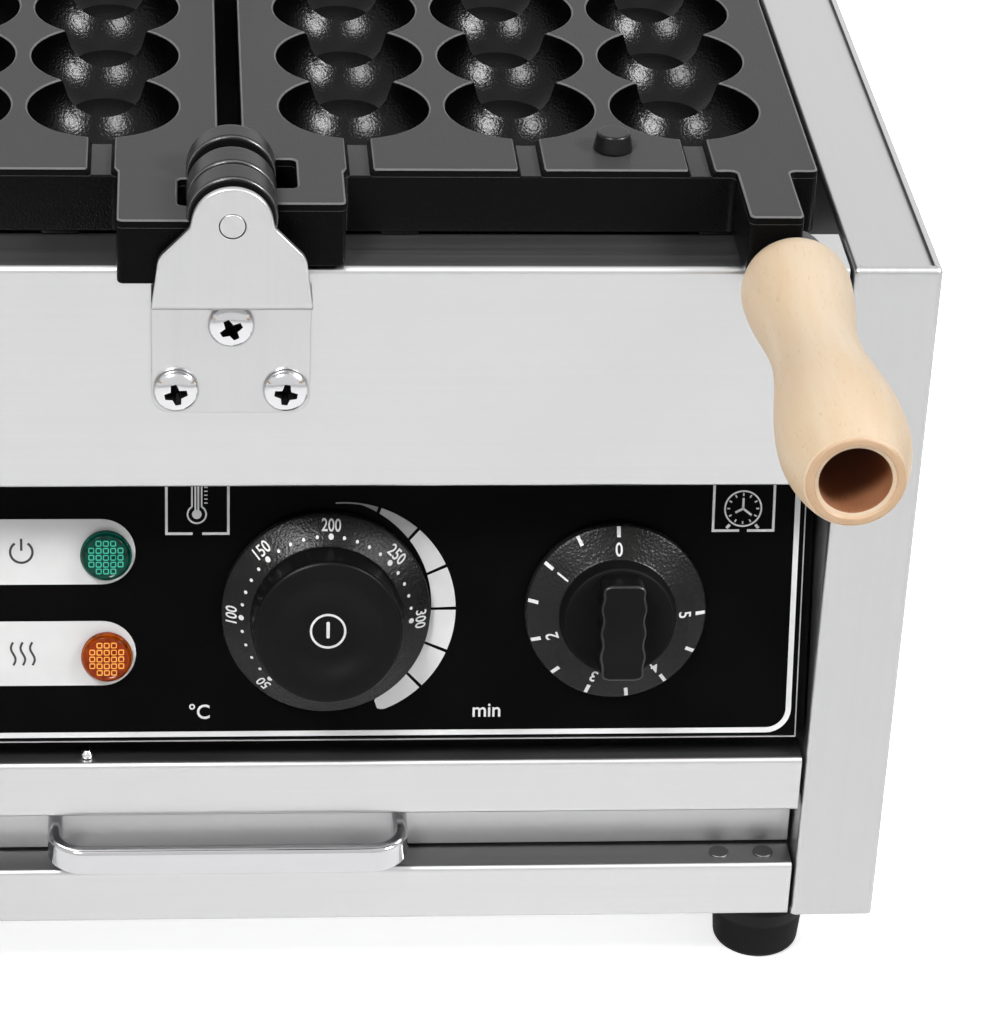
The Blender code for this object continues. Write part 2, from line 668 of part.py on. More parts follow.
def hinges(parent):
    """Brackets, screws, pins and washers of the front and rear hinges."""
    face = -SEAT_GAP - BRACKET_SHEET - SEAT_GAP
    shape = headed(SCREW_RADIUS, SCREW_HEAD_RADIUS, SCREW_HEAD, SCREW_GRIP)
    hinge_bracket("front_hinge_bracket", parent, False)
    names = ["bracket_screw_low_left", "bracket_screw_low_right", "bracket_screw_high"]
    screws([f"front_{name}" for name in names], bracket_screw_places(face), "y", shape, 12, parent)
    hinge_bracket("rear_hinge_bracket", parent, True)
    back = headed(SCREW_RADIUS, SCREW_HEAD_RADIUS, SCREW_HEAD, SCREW_GRIP, -1)
    screws([f"rear_{name}" for name in names], bracket_screw_places(BODY_DEPTH - face), "y", back, 12, parent)
    bm = bmesh.new()
    add_disc(bm, PIN_RADIUS, BRACKET_FRONT, LEFT_REAR_KNUCKLE_BACK, 16, (0, 0, AXIS_HEIGHT), "y")
    add_object("front_hinge_pin", bm, "chrome", parent, True)
    bm = bmesh.new()
    ends = (BODY_DEPTH - LEFT_REAR_KNUCKLE_BACK, BODY_DEPTH - BRACKET_FRONT)
    tube = [(PIN_BORE_RADIUS, ends[0]), (PIN_RADIUS, ends[0]), (PIN_RADIUS, ends[1]),
            (PIN_BORE_RADIUS, ends[1])]
    add_turned(bm, tube, 16, (0, 0, AXIS_HEIGHT), "y")
    add_object("rear_hinge_pin", bm, "chrome", parent, True)
    start = BRACKET_FRONT + BRACKET_SHEET + SEAT_GAP
    ring = [(PIN_RADIUS + SEAT_GAP, 0), (WASHER_RADIUS, 0), (WASHER_RADIUS, WASHER_THICKNESS),
            (PIN_RADIUS + SEAT_GAP, WASHER_THICKNESS)]
    seats = [(0, start, AXIS_HEIGHT), (0, BODY_DEPTH - start - WASHER_THICKNESS, AXIS_HEIGHT)]
    screws(["front_hinge_washer", "rear_hinge_washer"], seats, "y", ring, 16, parent)


def mould_outline(side):
    """Plan of one mould with its lugs, as distances from the centre plane."""
    if side < 0:
        lug = [(PAN_INNER, LEFT_SLOT_BACK), (LEFT_SLOT_SIDE, LEFT_SLOT_BACK),
               (LEFT_SLOT_SIDE, LEFT_KNUCKLE_BACK), (LUG_INNER, LEFT_KNUCKLE_BACK),
               (LUG_INNER, LEFT_LUG_FRONT), (LUG_OUTER, LEFT_LUG_FRONT), (LUG_OUTER, PAN_FRONT)]
    else:
        lug = [(PAN_INNER, RIGHT_SLOT_BACK), (RIGHT_SLOT_SIDE, RIGHT_SLOT_BACK),
               (RIGHT_SLOT_SIDE, RIGHT_KNUCKLE_BACK), (LUG_INNER, RIGHT_KNUCKLE_BACK),
               (LUG_INNER, RIGHT_LUG_FRONT), (LUG_OUTER, RIGHT_LUG_FRONT), (LUG_OUTER, PAN_FRONT)]
    grip = [(HANDLE_LUG_INNER, PAN_FRONT), (HANDLE_LUG_INNER, HANDLE_LUG_FRONT),
            (HANDLE_LUG_OUTER, HANDLE_LUG_FRONT), (HANDLE_LUG_OUTER, PAN_FRONT)]
    rear = [(x, BODY_DEPTH - y) for x, y in reversed(lug)]
    return lug + grip + [(PAN_OUTER, PAN_FRONT), (PAN_OUTER, PAN_REAR)] + rear


def knuckle(bm, start, end):
    """Hinge disc about the axis with a chamfer on both rims."""
    rim = KNUCKLE_RADIUS - KNUCKLE_CHAMFER
    add_turned(bm, [(0, start), (rim, start), (KNUCKLE_RADIUS, start + KNUCKLE_CHAMFER),
                    (KNUCKLE_RADIUS, end - KNUCKLE_CHAMFER), (rim, end), (0, end)], 22, axis="y")


def knuckle_spans(side):
    """Depth spans of a mould's hinge discs, front then rear."""
    if side < 0:
        front = [(LEFT_LUG_FRONT, LEFT_KNUCKLE_BACK), (LEFT_SLOT_BACK, LEFT_REAR_KNUCKLE_BACK)]
    else:
        front = [(RIGHT_LUG_FRONT, RIGHT_KNUCKLE_BACK)]
    return front + [(BODY_DEPTH - end, BODY_DEPTH - start) for start, end in front]


def ball_string(bm, x):
    """Row of merged balls turned about its line in the parting face.

    The turned polygon is drawn round the true circle, with a flat on each side at
    the parting face, so that the mouth of the cavity keeps the ball's full width.
    """
    steps, arc_steps = 16, 4
    around = 1 / math.cos(math.pi / steps)
    neck = math.degrees(math.acos(BALL_PITCH / 2 / BALL_RADIUS))
    profile = []
    for i in range(BALL_COUNT):
        first = 180 if i == 0 else 180 - neck
        last = 0 if i == BALL_COUNT - 1 else neck
        points = arc((FIRST_BALL + i * BALL_PITCH, 0), BALL_RADIUS, first, last, arc_steps)
        profile += [(b * around, a) for a, b in (points if i == 0 else points[1:])]
    profile[0] = (0, profile[0][1])
    profile[-1] = (0, profile[-1][1])
    add_turned(bm, profile, steps, (x, 0, PAN_TOP), "y", math.pi / steps)


def mould(side, word, parent):
    """Cast mould: plate with lugs, block below, hinge discs, ball strings and grooves."""
    bm = bmesh.new()
    outline = [(side * x, y) for x, y in mould_outline(side)]
    add_prism(bm, outline, "z", PAN_BOTTOM, PAN_TOP)
    cast = add_object(f"{word}_mould", bm, "cast_black", parent)
    bevel(cast, FINE_EDGE, 1, 60)

    def block(m):
        inner, outer = side * (PAN_INNER + BLOCK_INSET), side * (PAN_OUTER - BLOCK_INSET)
        add_box(m, (min(inner, outer), PAN_FRONT + BLOCK_END_INSET, BLOCK_BOTTOM),
                (max(inner, outer), PAN_REAR - BLOCK_END_INSET, PAN_BOTTOM + CUT_OVERRUN))
    boolean(cast, guide(f"{word}_block", parent, block), "UNION")

    def discs(m):
        for start, end in knuckle_spans(side):
            knuckle(m, start, end)
    boolean(cast, guide(f"{word}_knuckles", parent, discs), "UNION")
    boss = (side * HANDLE_X, 0, -HANDLE_DROP)
    boolean(cast, guide(f"{word}_boss", parent, lambda m: add_disc(
        m, HANDLE_BOSS_RADIUS, HANDLE_LUG_FRONT, HANDLE_BOSS_BACK, 20, boss, "y")), "UNION")

    def pads(m):
        deck, rear = DECK_STRIP - SEAT_GAP, BODY_DEPTH - DECK_STRIP + SEAT_GAP
        for x in (LUG_OUTER + REST_PAD_INSET, PAN_OUTER - REST_PAD_INSET):
            for start, end in ((PAN_FRONT + FINE_EDGE, deck), (rear, PAN_REAR - FINE_EDGE)):
                low, high = sorted((side * x, side * (x - REST_PAD_WIDTH)))
                add_box(m, (low, start, -AXIS_HEIGHT + SEAT_GAP), (high, end, PAN_BOTTOM + CUT_OVERRUN))
    boolean(cast, guide(f"{word}_rest_pads", parent, pads), "UNION")

    def strings(m):
        for x in STRINGS:
            ball_string(m, side * x)
    boolean(cast, guide(f"{word}_ball_strings", parent, strings))

    def grooves(m):
        for x in STRINGS:
            half, floor = GROOVE_WIDTH / 2, GROOVE_FLOOR / 2
            left = [(-half, PAN_TOP + CUT_OVERRUN), (-half, PAN_TOP), (-floor, PAN_TOP - GROOVE_DEPTH)]
            section = [(side * x + dx, z) for dx, z in left + [(-dx, z) for dx, z in reversed(left)]]
            add_prism(m, section, "y", PAN_FRONT - CUT_OVERRUN, FIRST_BALL - BALL_RADIUS / 2)
    boolean(cast, guide(f"{word}_grooves", parent, grooves))

    def bores(m):
        bore = PIN_RADIUS + TURN_CLEARANCE
        for start, end in knuckle_spans(side):
            add_disc(m, bore, start - CUT_OVERRUN, end + CUT_OVERRUN, 12, axis="y")
    boolean(cast, guide(f"{word}_pin_bores", parent, bores))
    thread = (HANDLE_LUG_FRONT - CUT_OVERRUN, HANDLE_LUG_FRONT + ROD_THREAD + SEAT_GAP)
    drill(f"{word}_rod_bore", cast, [boss], "y", ROD_RADIUS + SEAT_GAP, *thread, 12)
    if side > 0:
        hole = (PEG_ROOT_RADIUS + SEAT_GAP, PAN_TOP - PEG_ROOT - SEAT_GAP)
    else:
        hole = (PEG_BASE_RADIUS + SOCKET_CLEARANCE, PAN_TOP - PEG_HEIGHT - SOCKET_CLEARANCE)
    drill(f"{word}_peg_hole", cast, [(side * PEG_X, PEG_SETBACK, 0)], "z", hole[0], hole[1], CUT_OVERRUN, 16)
    return cast


def heater_places(side):
    """Corner places of a mould's heating loop, seen from above."""
    inner, outer = side * HEATER_INSET, side * (PAN_OUTER + PAN_INNER - HEATER_INSET)
    front, rear = PAN_FRONT + HEATER_INSET, PAN_REAR - HEATER_INSET
    return inner, outer, front, rear


def heater(side, word, parent):
    """Tubular element bent to a U and laid under the block."""
    inner, outer, front, rear = heater_places(side)
    height = BLOCK_BOTTOM - SEAT_GAP - HEATER_RADIUS
    turn = side * HEATER_BEND
    path = [(inner, rear)]
    path += arc((inner + turn, front + HEATER_BEND), HEATER_BEND, 180 if side > 0 else 0, 270, 5)
    path += arc((outer - turn, front + HEATER_BEND), HEATER_BEND, 270, 360 if side > 0 else 180, 5)
    path += [(outer, rear)]
    curve = bpy.data.curves.new(f"{word}_heating_element", "CURVE")
    curve.dimensions = "3D"
    curve.bevel_depth = HEATER_RADIUS
    curve.bevel_resolution = 2
    curve.use_fill_caps = True
    curve.materials.append(material("chrome"))
    spline = curve.splines.new("POLY")
    spline.points.add(len(path) - 1)
    for point, (x, y) in zip(spline.points, path):
        point.co = (x, y, height, 1)
    obj = bpy.data.objects.new(f"{word}_heating_element", curve)
    bpy.context.scene.collection.objects.link(obj)
    obj.parent = parent


def cover_screw_places(side, height):
    """Four corners of the heater cover's flange."""
    inset = BLOCK_INSET + COVER_FLANGE / 2
    rows = (PAN_FRONT + BLOCK_END_INSET + COVER_FLANGE / 2, PAN_REAR - BLOCK_END_INSET - COVER_FLANGE / 2)
    return [(side * x, y, height) for x in (PAN_INNER + inset, PAN_OUTER - inset) for y in rows]


def heater_cover(side, word, parent):
    """Pressed cover with a flange round its rim and the heads of its four screws."""
    x0, x1 = PAN_INNER + BLOCK_INSET, PAN_OUTER - BLOCK_INSET
    y0, y1 = PAN_FRONT + BLOCK_END_INSET, PAN_REAR - BLOCK_END_INSET
    top, floor = BLOCK_BOTTOM - SEAT_GAP, BLOCK_BOTTOM - SEAT_GAP - COVER_DEPTH
    bm = bmesh.new()
    rings = []
    for inset, z in ((0, top), (COVER_FLANGE, top), (COVER_FLANGE, floor)):
        low, high = sorted((side * (x0 + inset), side * (x1 - inset)))
        corners = ((low, y0 + inset), (high, y0 + inset), (high, y1 - inset), (low, y1 - inset))
        rings.append([bm.verts.new((x, y, z)) for x, y in corners])
    for first, second in zip(rings, rings[1:]):
        for i in range(4):
            j = (i + 1) % 4
            bm.faces.new((first[i], first[j], second[j], second[i]))
    bm.faces.new(rings[-1])
    mesh = bpy.data.meshes.new(f"{word}_heater_cover")
    bm.to_mesh(mesh)
    bm.free()
    cover = bpy.data.objects.new(f"{word}_heater_cover", mesh)
    bpy.context.scene.collection.objects.link(cover)
    cover.parent = parent
    mesh.materials.append(material("brushed_steel"))
    bevel(cover, COVER_CORNER, 2)
    wall = cover.modifiers.new("sheet", "SOLIDIFY")
    wall.thickness = SHEET
    wall.offset = -1
    wall.use_even_offset = True
    flat = COVER_SCREW_HEAD_RADIUS * COVER_SCREW_FLAT_SHARE
    head = [(0, COVER_SCREW_HEAD), (flat, COVER_SCREW_HEAD),
            (COVER_SCREW_HEAD_RADIUS, SHEET), (COVER_SCREW_HEAD_RADIUS, 0), (0, 0)]

    def heads(m):
        for place in cover_screw_places(side, top - SHEET / 2):
            add_turned(m, [(r, -z) for r, z in head], 8, place)
    boolean(cover, guide(f"{word}_cover_screws", parent, heads), "UNION")


def handle_radius(t):
    """Radius of the turned handle at a share of its length, eased between its stations."""
    nose, stations = HANDLE_STATION_SHARES[0], HANDLE_STATION_SHARES
    radii = (HANDLE_ROOT_RADIUS, HANDLE_WAIST_RADIUS, HANDLE_SWELL_RADIUS, HANDLE_END_RADIUS)
    if t <= nose:
        rise = math.sqrt(1 - (1 - t / nose) ** 2)
        return HANDLE_ROOT_RADIUS * (HANDLE_NOSE_SHARE + (1 - HANDLE_NOSE_SHARE) * rise)
    k = max(i for i in range(3) if t >= stations[i])
    local = (t - stations[k]) / (stations[k + 1] - stations[k])
    ease = (1 - math.cos(math.pi * local)) / 2 if k < 2 else local ** 2
    return radii[k] + (radii[k + 1] - radii[k]) * ease


def add_nut(bm, thread, radius, start, end, place, axis):
    """Six sided nut whose hole clears its thread."""
    hole = (thread + SEAT_GAP) / math.cos(math.pi / 6)
    add_turned(bm, [(hole, start), (radius, start), (radius, end), (hole, end)], 6, place, axis)


def grip(side, word, parent):
    """Turned wooden handle on a steel rod, with its nut sunk in the end."""
    place = (side * HANDLE_X, 0, -HANDLE_DROP)
    front = HANDLE_START - HANDLE_LENGTH
    bore = ROD_RADIUS + SEAT_GAP
    outer = [(handle_radius(t), HANDLE_START - HANDLE_LENGTH * t) for t in HANDLE_SHARES]
    pocket = front + HANDLE_POCKET_DEPTH
    profile = outer + [(HANDLE_POCKET_RADIUS, front), (HANDLE_POCKET_RADIUS, pocket), (bore, pocket),
                       (bore, HANDLE_START)]
    bm = bmesh.new()
    add_turned(bm, profile, 18, place, "y")
    add_object(f"{word}_handle", bm, "wood", parent, True)
    bm = bmesh.new()
    tip = pocket - NUT_HEIGHT - ROD_TIP
    add_disc(bm, ROD_RADIUS, tip, HANDLE_LUG_FRONT + ROD_THREAD, 12, place, "y")
    add_object(f"{word}_handle_rod", bm, "chrome", parent, True)
    bm = bmesh.new()
    add_nut(bm, ROD_RADIUS, NUT_RADIUS, pocket - SEAT_GAP - NUT_HEIGHT, pocket - SEAT_GAP, place, "y")
    add_object(f"{word}_handle_nut", bm, "chrome", parent)


def pan(side, word, parent):
    """Everything that turns with one mould."""
    mould(side, word, parent)
    heater(side, word, parent)
    heater_cover(side, word, parent)
    grip(side, word, parent)
    if side > 0:
        bm = bmesh.new()
        add_turned(bm, [(0, PAN_TOP - PEG_ROOT), (PEG_ROOT_RADIUS, PAN_TOP - PEG_ROOT),
                        (PEG_ROOT_RADIUS, PAN_TOP + SEAT_GAP), (PEG_BASE_RADIUS, PAN_TOP + SEAT_GAP),
                        (PEG_TOP_RADIUS, PAN_TOP + PEG_HEIGHT - FINE_EDGE),
                        (PEG_TOP_RADIUS - FINE_EDGE, PAN_TOP + PEG_HEIGHT), (0, PAN_TOP + PEG_HEIGHT)],
                   16, (PEG_X, PEG_SETBACK, 0))
        add_object("locating_peg", bm, "cast_black", parent, True)


def tray(parent):
    """Crumb tray with its folded front, bow handle and stop rivet."""
    front = folded_sheet("tray_front", [
        (BAR_FLANGE, -BAR_TOP_DROP), (0, -BAR_TOP_DROP), (0, -BAR_BOTTOM_DROP),
        (RECESS, -BAR_BOTTOM_DROP), (RECESS, -TRAY_FLOOR_DROP)], SPAN_HALF, parent)
    back = RECESS + SHEET + SEAT_GAP
    low, high = (-TRAY_HALF_WIDTH, back, -TRAY_FLOOR_DROP), (TRAY_HALF_WIDTH, back + TRAY_LENGTH, 0)
    bm = bmesh.new()
    rings = []
    for grow, z in ((TRAY_RIM, -TRAY_RIM_DROP), (0, -TRAY_RIM_DROP), (0, -TRAY_FLOOR_DROP)):
        corners = ((low[0] - grow, low[1]), (high[0] + grow, low[1]), (high[0] + grow, high[1]),
                   (low[0] - grow, high[1]))
        rings.append([bm.verts.new((x, y, z)) for x, y in corners])
    for k, (first, second) in enumerate(zip(rings, rings[1:])):
        for i in range(4):
            j = (i + 1) % 4
            if k or i % 2:
                bm.faces.new((first[i], first[j], second[j], second[i]))
    bm.faces.new(rings[-1])
    loose = [v for v in bm.verts if not v.link_faces]
    bmesh.ops.delete(bm, geom=loose, context="VERTS")
    bmesh.ops.remove_doubles(bm, verts=bm.verts, dist=FINE_EDGE / 10)
    mesh = bpy.data.meshes.new("crumb_tray")
    bm.to_mesh(mesh)
    bm.free()
    box = bpy.data.objects.new("crumb_tray", mesh)
    bpy.context.scene.collection.objects.link(box)
    box.parent = parent
    mesh.materials.append(material("brushed_steel"))
    bevel(box, TRAY_CORNER, 2, 50)
    wall = box.modifiers.new("sheet", "SOLIDIFY")
    wall.thickness = SHEET
    wall.offset = 1
    wall.use_even_offset = True
    bow_handle(parent, front, box)
    bm = bmesh.new()
    top = -BAR_TOP_DROP + SEAT_GAP
    add_turned(bm, [(0, top), (STOP_RIVET_RADIUS, top), (STOP_RIVET_RADIUS, top + STOP_RIVET_HEIGHT / 2),
                    (STOP_RIVET_RADIUS / 2, top + STOP_RIVET_HEIGHT), (0, top + STOP_RIVET_HEIGHT)],
               12, (STOP_RIVET_X, STOP_RIVET_SETBACK, 0))
    add_object("tray_stop_rivet", bm, "chrome", parent, True)


def bow_handle(parent, front, box):
    """Flat bow carried along its bend, with a screw into each foot."""
    centre = -(BAR_BOTTOM_DROP + RAIL_TOP_DROP) / 2
    foot = BOW_WIDTH / 2 - BOW_THICKNESS / 2
    start, reach = RECESS - SEAT_GAP, RECESS - BOW_REACH + BOW_THICKNESS / 2
    path = [(-foot, start)]
    path += [(x, y) for x, y in arc((-foot + BOW_BEND, reach + BOW_BEND), BOW_BEND, 180, 270, 6)]
    path += [(-x, y) for x, y in reversed(path)]
    half, edge = BOW_BAND / 2, BOW_THICKNESS / 2
    crown = [(edge * across, half - edge * down) for across, down in BOW_CROWN_SHARES]
    section = crown + [(-across, -up) for across, up in crown]
    bm = bmesh.new()
    rings = []
    for i, (x, y) in enumerate(path):
        before, after = path[max(i - 1, 0)], path[min(i + 1, len(path) - 1)]
        along = Vector((after[0] - before[0], after[1] - before[1])).normalized()
        if i in (0, len(path) - 1):
            along = Vector((0, -1 if i == 0 else 1))
        across = Vector((along.y, -along.x))
        rings.append([bm.verts.new((x + across.x * a, y + across.y * a, centre + b)) for a, b in section])
    for first, second in zip(rings, rings[1:]):
        for i in range(len(section)):
            j = (i + 1) % len(section)
            bm.faces.new((first[i], first[j], second[j], second[i]))
    bm.faces.new(rings[0][::-1])
    bm.faces.new(rings[-1])
    bow = add_object("tray_handle", bm, "chrome", parent, True)
    feet_at = [(side * foot, RECESS, centre) for side in (-1, 1)]
    hole = BOW_SCREW_RADIUS + SEAT_GAP
    inner_face = RECESS + 2 * SHEET + 2 * SEAT_GAP
    seats = [(x, inner_face, z) for x, _, z in feet_at]
    shape = headed(BOW_SCREW_RADIUS, BOW_SCREW_HEAD_RADIUS, BOW_SCREW_HEAD, BOW_SCREW_DEPTH + 2 * SHEET, -1)
    screws(["tray_handle_screw_left", "tray_handle_screw_right"], seats, "y", shape, 8, parent)
    drill("bow_bores", bow, feet_at, "y", hole, -BOW_SCREW_DEPTH - SEAT_GAP, CUT_OVERRUN, 8)
    drill("front_bores", front, feet_at, "y", hole, -CUT_OVERRUN, SHEET + CUT_OVERRUN / 4, 8)
    drill("tray_bores", box, feet_at, "y", hole, 0, 2 * SHEET + CUT_OVERRUN, 8)


def tray_guides(parent):
    """Runners on the side panels that carry the tray's rims."""
    for side, word in ((-1, "left"), (1, "right")):
        wall = INNER_HALF - SEAT_GAP
        ledge = -TRAY_RIM_DROP - SEAT_GAP
        section = [(wall, ledge), (wall, ledge - RUNNER_HEIGHT), (wall - RUNNER_THICKNESS, ledge - RUNNER_HEIGHT),
                   (wall - RUNNER_THICKNESS, ledge - RUNNER_THICKNESS),
                   (wall - RUNNER_LEDGE, ledge - RUNNER_THICKNESS), (wall - RUNNER_LEDGE, ledge)]
        bm = bmesh.new()
        add_prism(bm, [(side * x, z) for x, z in section], "y", RUNNER_START,
                  RECESS + SHEET + SEAT_GAP + TRAY_LENGTH)
        add_object(f"tray_runner_{word}", bm, "brushed_steel", parent)


def panel_place(x, drop):
    """Point on the face of the sloping panel at a drop below the deck."""
    share = (PANEL_BOTTOM_DROP - drop) / (PANEL_BOTTOM_DROP - PANEL_TOP_DROP)
    setback = PANEL_BOTTOM_SETBACK + share * (PANEL_TOP_SETBACK - PANEL_BOTTOM_SETBACK)
    return (x, FRONT_Y + setback, DECK_Z - drop)


def panel_hole(name, panel, frame, radius):
    """Hole through the control panel, square to it."""
    cutter = guide(name, frame, lambda m: add_disc(m, radius, -SHEET - CUT_OVERRUN, CUT_OVERRUN, 16))
    boolean(panel, cutter)


def control_body(name, frame, sides):
    """Closed switch body behind the panel with a bush for its shaft."""
    back = -SHEET - SEAT_GAP
    bm = bmesh.new()
    if sides == 4:
        half = CONTROL_BODY / 2
        add_box(bm, (-half, -half, back - CONTROL_BODY_DEPTH), (half, half, back))
    else:
        add_disc(bm, CONTROL_BODY / 2, back - CONTROL_BODY_DEPTH, back, sides)
    body = add_object(name, bm, "ceramic", frame)
    boolean(body, guide(f"{name}_bush", frame, lambda m: add_disc(
        m, CONTROL_BUSH_RADIUS, back - CUT_OVERRUN, FINE_EDGE, 16)), "UNION")
    boolean(body, guide(f"{name}_bore", frame, lambda m: add_disc(
        m, SHAFT_RADIUS + TURN_CLEARANCE, -SHAFT_IN - SEAT_GAP, CUT_OVERRUN, 16)))


def shaft(name, frame):
    """Round spindle that turns with its knob."""
    bm = bmesh.new()
    add_disc(bm, SHAFT_RADIUS, -SHAFT_IN, SHAFT_OUT, 12)
    add_object(name, bm, "chrome", frame, True)


def knob_socket():
    """Blind bore that opens a knob's turned profile from the back."""
    bore, end = SHAFT_RADIUS + SEAT_GAP, SHAFT_OUT + SEAT_GAP
    return [(0, end), (bore, end), (bore, KNOB_STANDOFF)]


def temperature_knob(frame):
    """Coned skirt for the scale with a dished barrel in front."""
    top = KNOB_HEIGHT
    profile = knob_socket() + [
        (SKIRT_RADIUS, KNOB_STANDOFF), (SKIRT_RADIUS, SKIRT_EDGE),
        (KNOB_BARREL_RADIUS + FINE_EDGE, SKIRT_HEIGHT), (KNOB_BARREL_RADIUS, SKIRT_HEIGHT + FINE_EDGE),
        (KNOB_BARREL_RADIUS - FINE_EDGE, top - KNOB_DISH), (KNOB_BARREL_RADIUS - KNOB_DISH, top)]
    profile += [(KNOB_BARREL_RADIUS * across, top - KNOB_DISH * down) for across, down in KNOB_DISH_SHARES]
    bm = bmesh.new()
    add_turned(bm, profile, 24)
    add_object("temperature_knob", bm, "black_plastic", frame, True)
    shaft("thermostat_shaft", frame)


def timer_knob(frame):
    """Scale skirt and hub with a scalloped bar grip across the middle."""
    profile = knob_socket() + [
        (TIMER_SKIRT_RADIUS, KNOB_STANDOFF), (TIMER_SKIRT_RADIUS, SKIRT_EDGE),
        (TIMER_SKIRT_RADIUS - SKIRT_EDGE, TIMER_SKIRT_HEIGHT - SKIRT_EDGE),
        (TIMER_HUB_RADIUS + FINE_EDGE, TIMER_SKIRT_HEIGHT), (TIMER_HUB_RADIUS, TIMER_SKIRT_HEIGHT + FINE_EDGE),
        (TIMER_HUB_RADIUS - FINE_EDGE, TIMER_HUB_HEIGHT - FINE_EDGE),
        (TIMER_HUB_RADIUS - SKIRT_EDGE, TIMER_HUB_HEIGHT), (0, TIMER_HUB_HEIGHT)]
    bm = bmesh.new()
    add_turned(bm, profile, 24)
    knob = add_object("timer_knob", bm, "black_plastic", frame, True)
    steps = 12
    side = []
    for i in range(steps + 1):
        t = i / steps
        inward = min(t, 1 - t, GRIP_END_SHARE) / GRIP_END_SHARE
        taper = GRIP_TIP_SHARE + (1 - GRIP_TIP_SHARE) * math.sqrt(1 - (1 - inward) ** 2)
        wave = 1 + GRIP_WAVE_SHARE * math.cos(math.tau * GRIP_WAVES * t)
        side.append((GRIP_WIDTH / 2 * wave * taper, GRIP_LENGTH * (t - 0.5)))
    outline = side + [(-x, y) for x, y in reversed(side)]

    def bar(m):
        add_prism(m, outline, "z", TIMER_HUB_HEIGHT - CUT_OVERRUN, GRIP_HEIGHT)
    grip_bar = guide("timer_grip", frame, bar)
    bevel(grip_bar, FINE_EDGE, 1, 60)
    boolean(knob, grip_bar, "UNION")
    shaft("timer_shaft", frame)


def lamp(word, slot, drop, panel, seat_name):
    """Pilot lamp snapped into the panel."""
    frame = carrier(seat_name, panel_place(LAMP_X, drop), math.pi / 2 - PANEL_TILT)
    panel_hole(f"{word}_lamp_hole", panel, frame, LAMP_BARREL_RADIUS + SEAT_GAP)
    profile = [(LAMP_RADIUS * across, LAMP_HEIGHT * up) for across, up in LAMP_DOME_SHARES]
    profile += [(LAMP_RADIUS, SEAT_GAP), (LAMP_BARREL_RADIUS, SEAT_GAP),
                (LAMP_BARREL_RADIUS, -LAMP_BARREL), (0, -LAMP_BARREL)]
    bm = bmesh.new()
    add_turned(bm, profile, 16)
    add_object(f"{word}_lamp", bm, slot, frame, True)


def controls(parent):
    """Sloping panel with its knobs, spindles, switch bodies and lamps."""
    panel = folded_sheet("control_panel", [
        (PANEL_TOP_SETBACK, -PANEL_TOP_DROP), (PANEL_BOTTOM_SETBACK, -PANEL_BOTTOM_DROP),
        (PANEL_BOTTOM_SETBACK + PANEL_FLANGE, -PANEL_BOTTOM_DROP)], SPAN_HALF, parent, "panel_black")
    turn = math.pi / 2 - PANEL_TILT
    thermostat = carrier("temperature_axis", panel_place(THERMOSTAT_X, KNOB_DROP), turn)
    timer = carrier("timer_axis", panel_place(TIMER_X, KNOB_DROP), turn)
    for name, frame in (("thermostat_hole", thermostat), ("timer_hole", timer)):
        panel_hole(name, panel, frame, CONTROL_BUSH_RADIUS + SEAT_GAP)
    control_body("thermostat_body", thermostat, 4)
    control_body("timer_body", timer, 20)
    temperature_knob(thermostat)
    timer_knob(timer)
    lamp("green", "green_lens", LAMP_GREEN_DROP, panel, "green_lamp_seat")
    lamp("amber", "amber_lens", LAMP_AMBER_DROP, panel, "amber_lamp_seat")


def wiring(parent):
    """Terminal block on the baffle's shelf and cable gland in the rear panel."""
    bm = bmesh.new()
    floor = -BAFFLE_SHELF_DROP + SEAT_GAP
    middle = (BAFFLE_SHELF_FRONT + BAFFLE_SETBACK) / 2
    x, half_y = TERMINAL_X, TERMINAL_WIDTH / 2
    add_box(bm, (x - TERMINAL_LENGTH / 2, middle - half_y, floor),
            (x + TERMINAL_LENGTH / 2, middle + half_y, floor + TERMINAL_HEIGHT))
    block = add_object("terminal_block", bm, "ceramic", parent)

    def ways(m):
        pitch = TERMINAL_LENGTH / TERMINAL_WAYS
        for i in range(TERMINAL_WAYS):
            spot = x + (i - (TERMINAL_WAYS - 1) / 2) * pitch
            half = TERMINAL_SLOT_WIDTH / 2
            top = floor + TERMINAL_HEIGHT
            add_box(m, (spot - half, middle - half_y - CUT_OVERRUN, top - TERMINAL_SLOT),
                    (spot + half, middle + half_y + CUT_OVERRUN, top + CUT_OVERRUN))
    boolean(block, guide("terminal_ways", parent, ways))
    face = BODY_DEPTH + SEAT_GAP
    inside = BODY_DEPTH - SHEET
    profile = [(GLAND_BORE_RADIUS, inside - GLAND_INSIDE), (GLAND_RADIUS, inside - GLAND_INSIDE),
               (GLAND_RADIUS, face), (GLAND_FLANGE_RADIUS, face), (GLAND_FLANGE_RADIUS, face + GLAND_FLANGE),
               (GLAND_RADIUS, face + GLAND_FLANGE + FINE_EDGE), (GLAND_RADIUS, face + GLAND_REACH - FINE_EDGE),
               (GLAND_RADIUS - FINE_EDGE, face + GLAND_REACH), (GLAND_BORE_RADIUS, face + GLAND_REACH)]
    bm = bmesh.new()
    add_turned(bm, profile, 16, (GLAND_X, 0, -GLAND_DROP), "y")
    add_object("cable_gland", bm, "black_plastic", parent, True)
    bm = bmesh.new()
    nut_back = inside - SEAT_GAP
    add_nut(bm, GLAND_RADIUS, GLAND_NUT_RADIUS, nut_back - GLAND_NUT, nut_back, (GLAND_X, 0, -GLAND_DROP), "y")
    add_object("cable_gland_nut", bm, "black_plastic", parent)


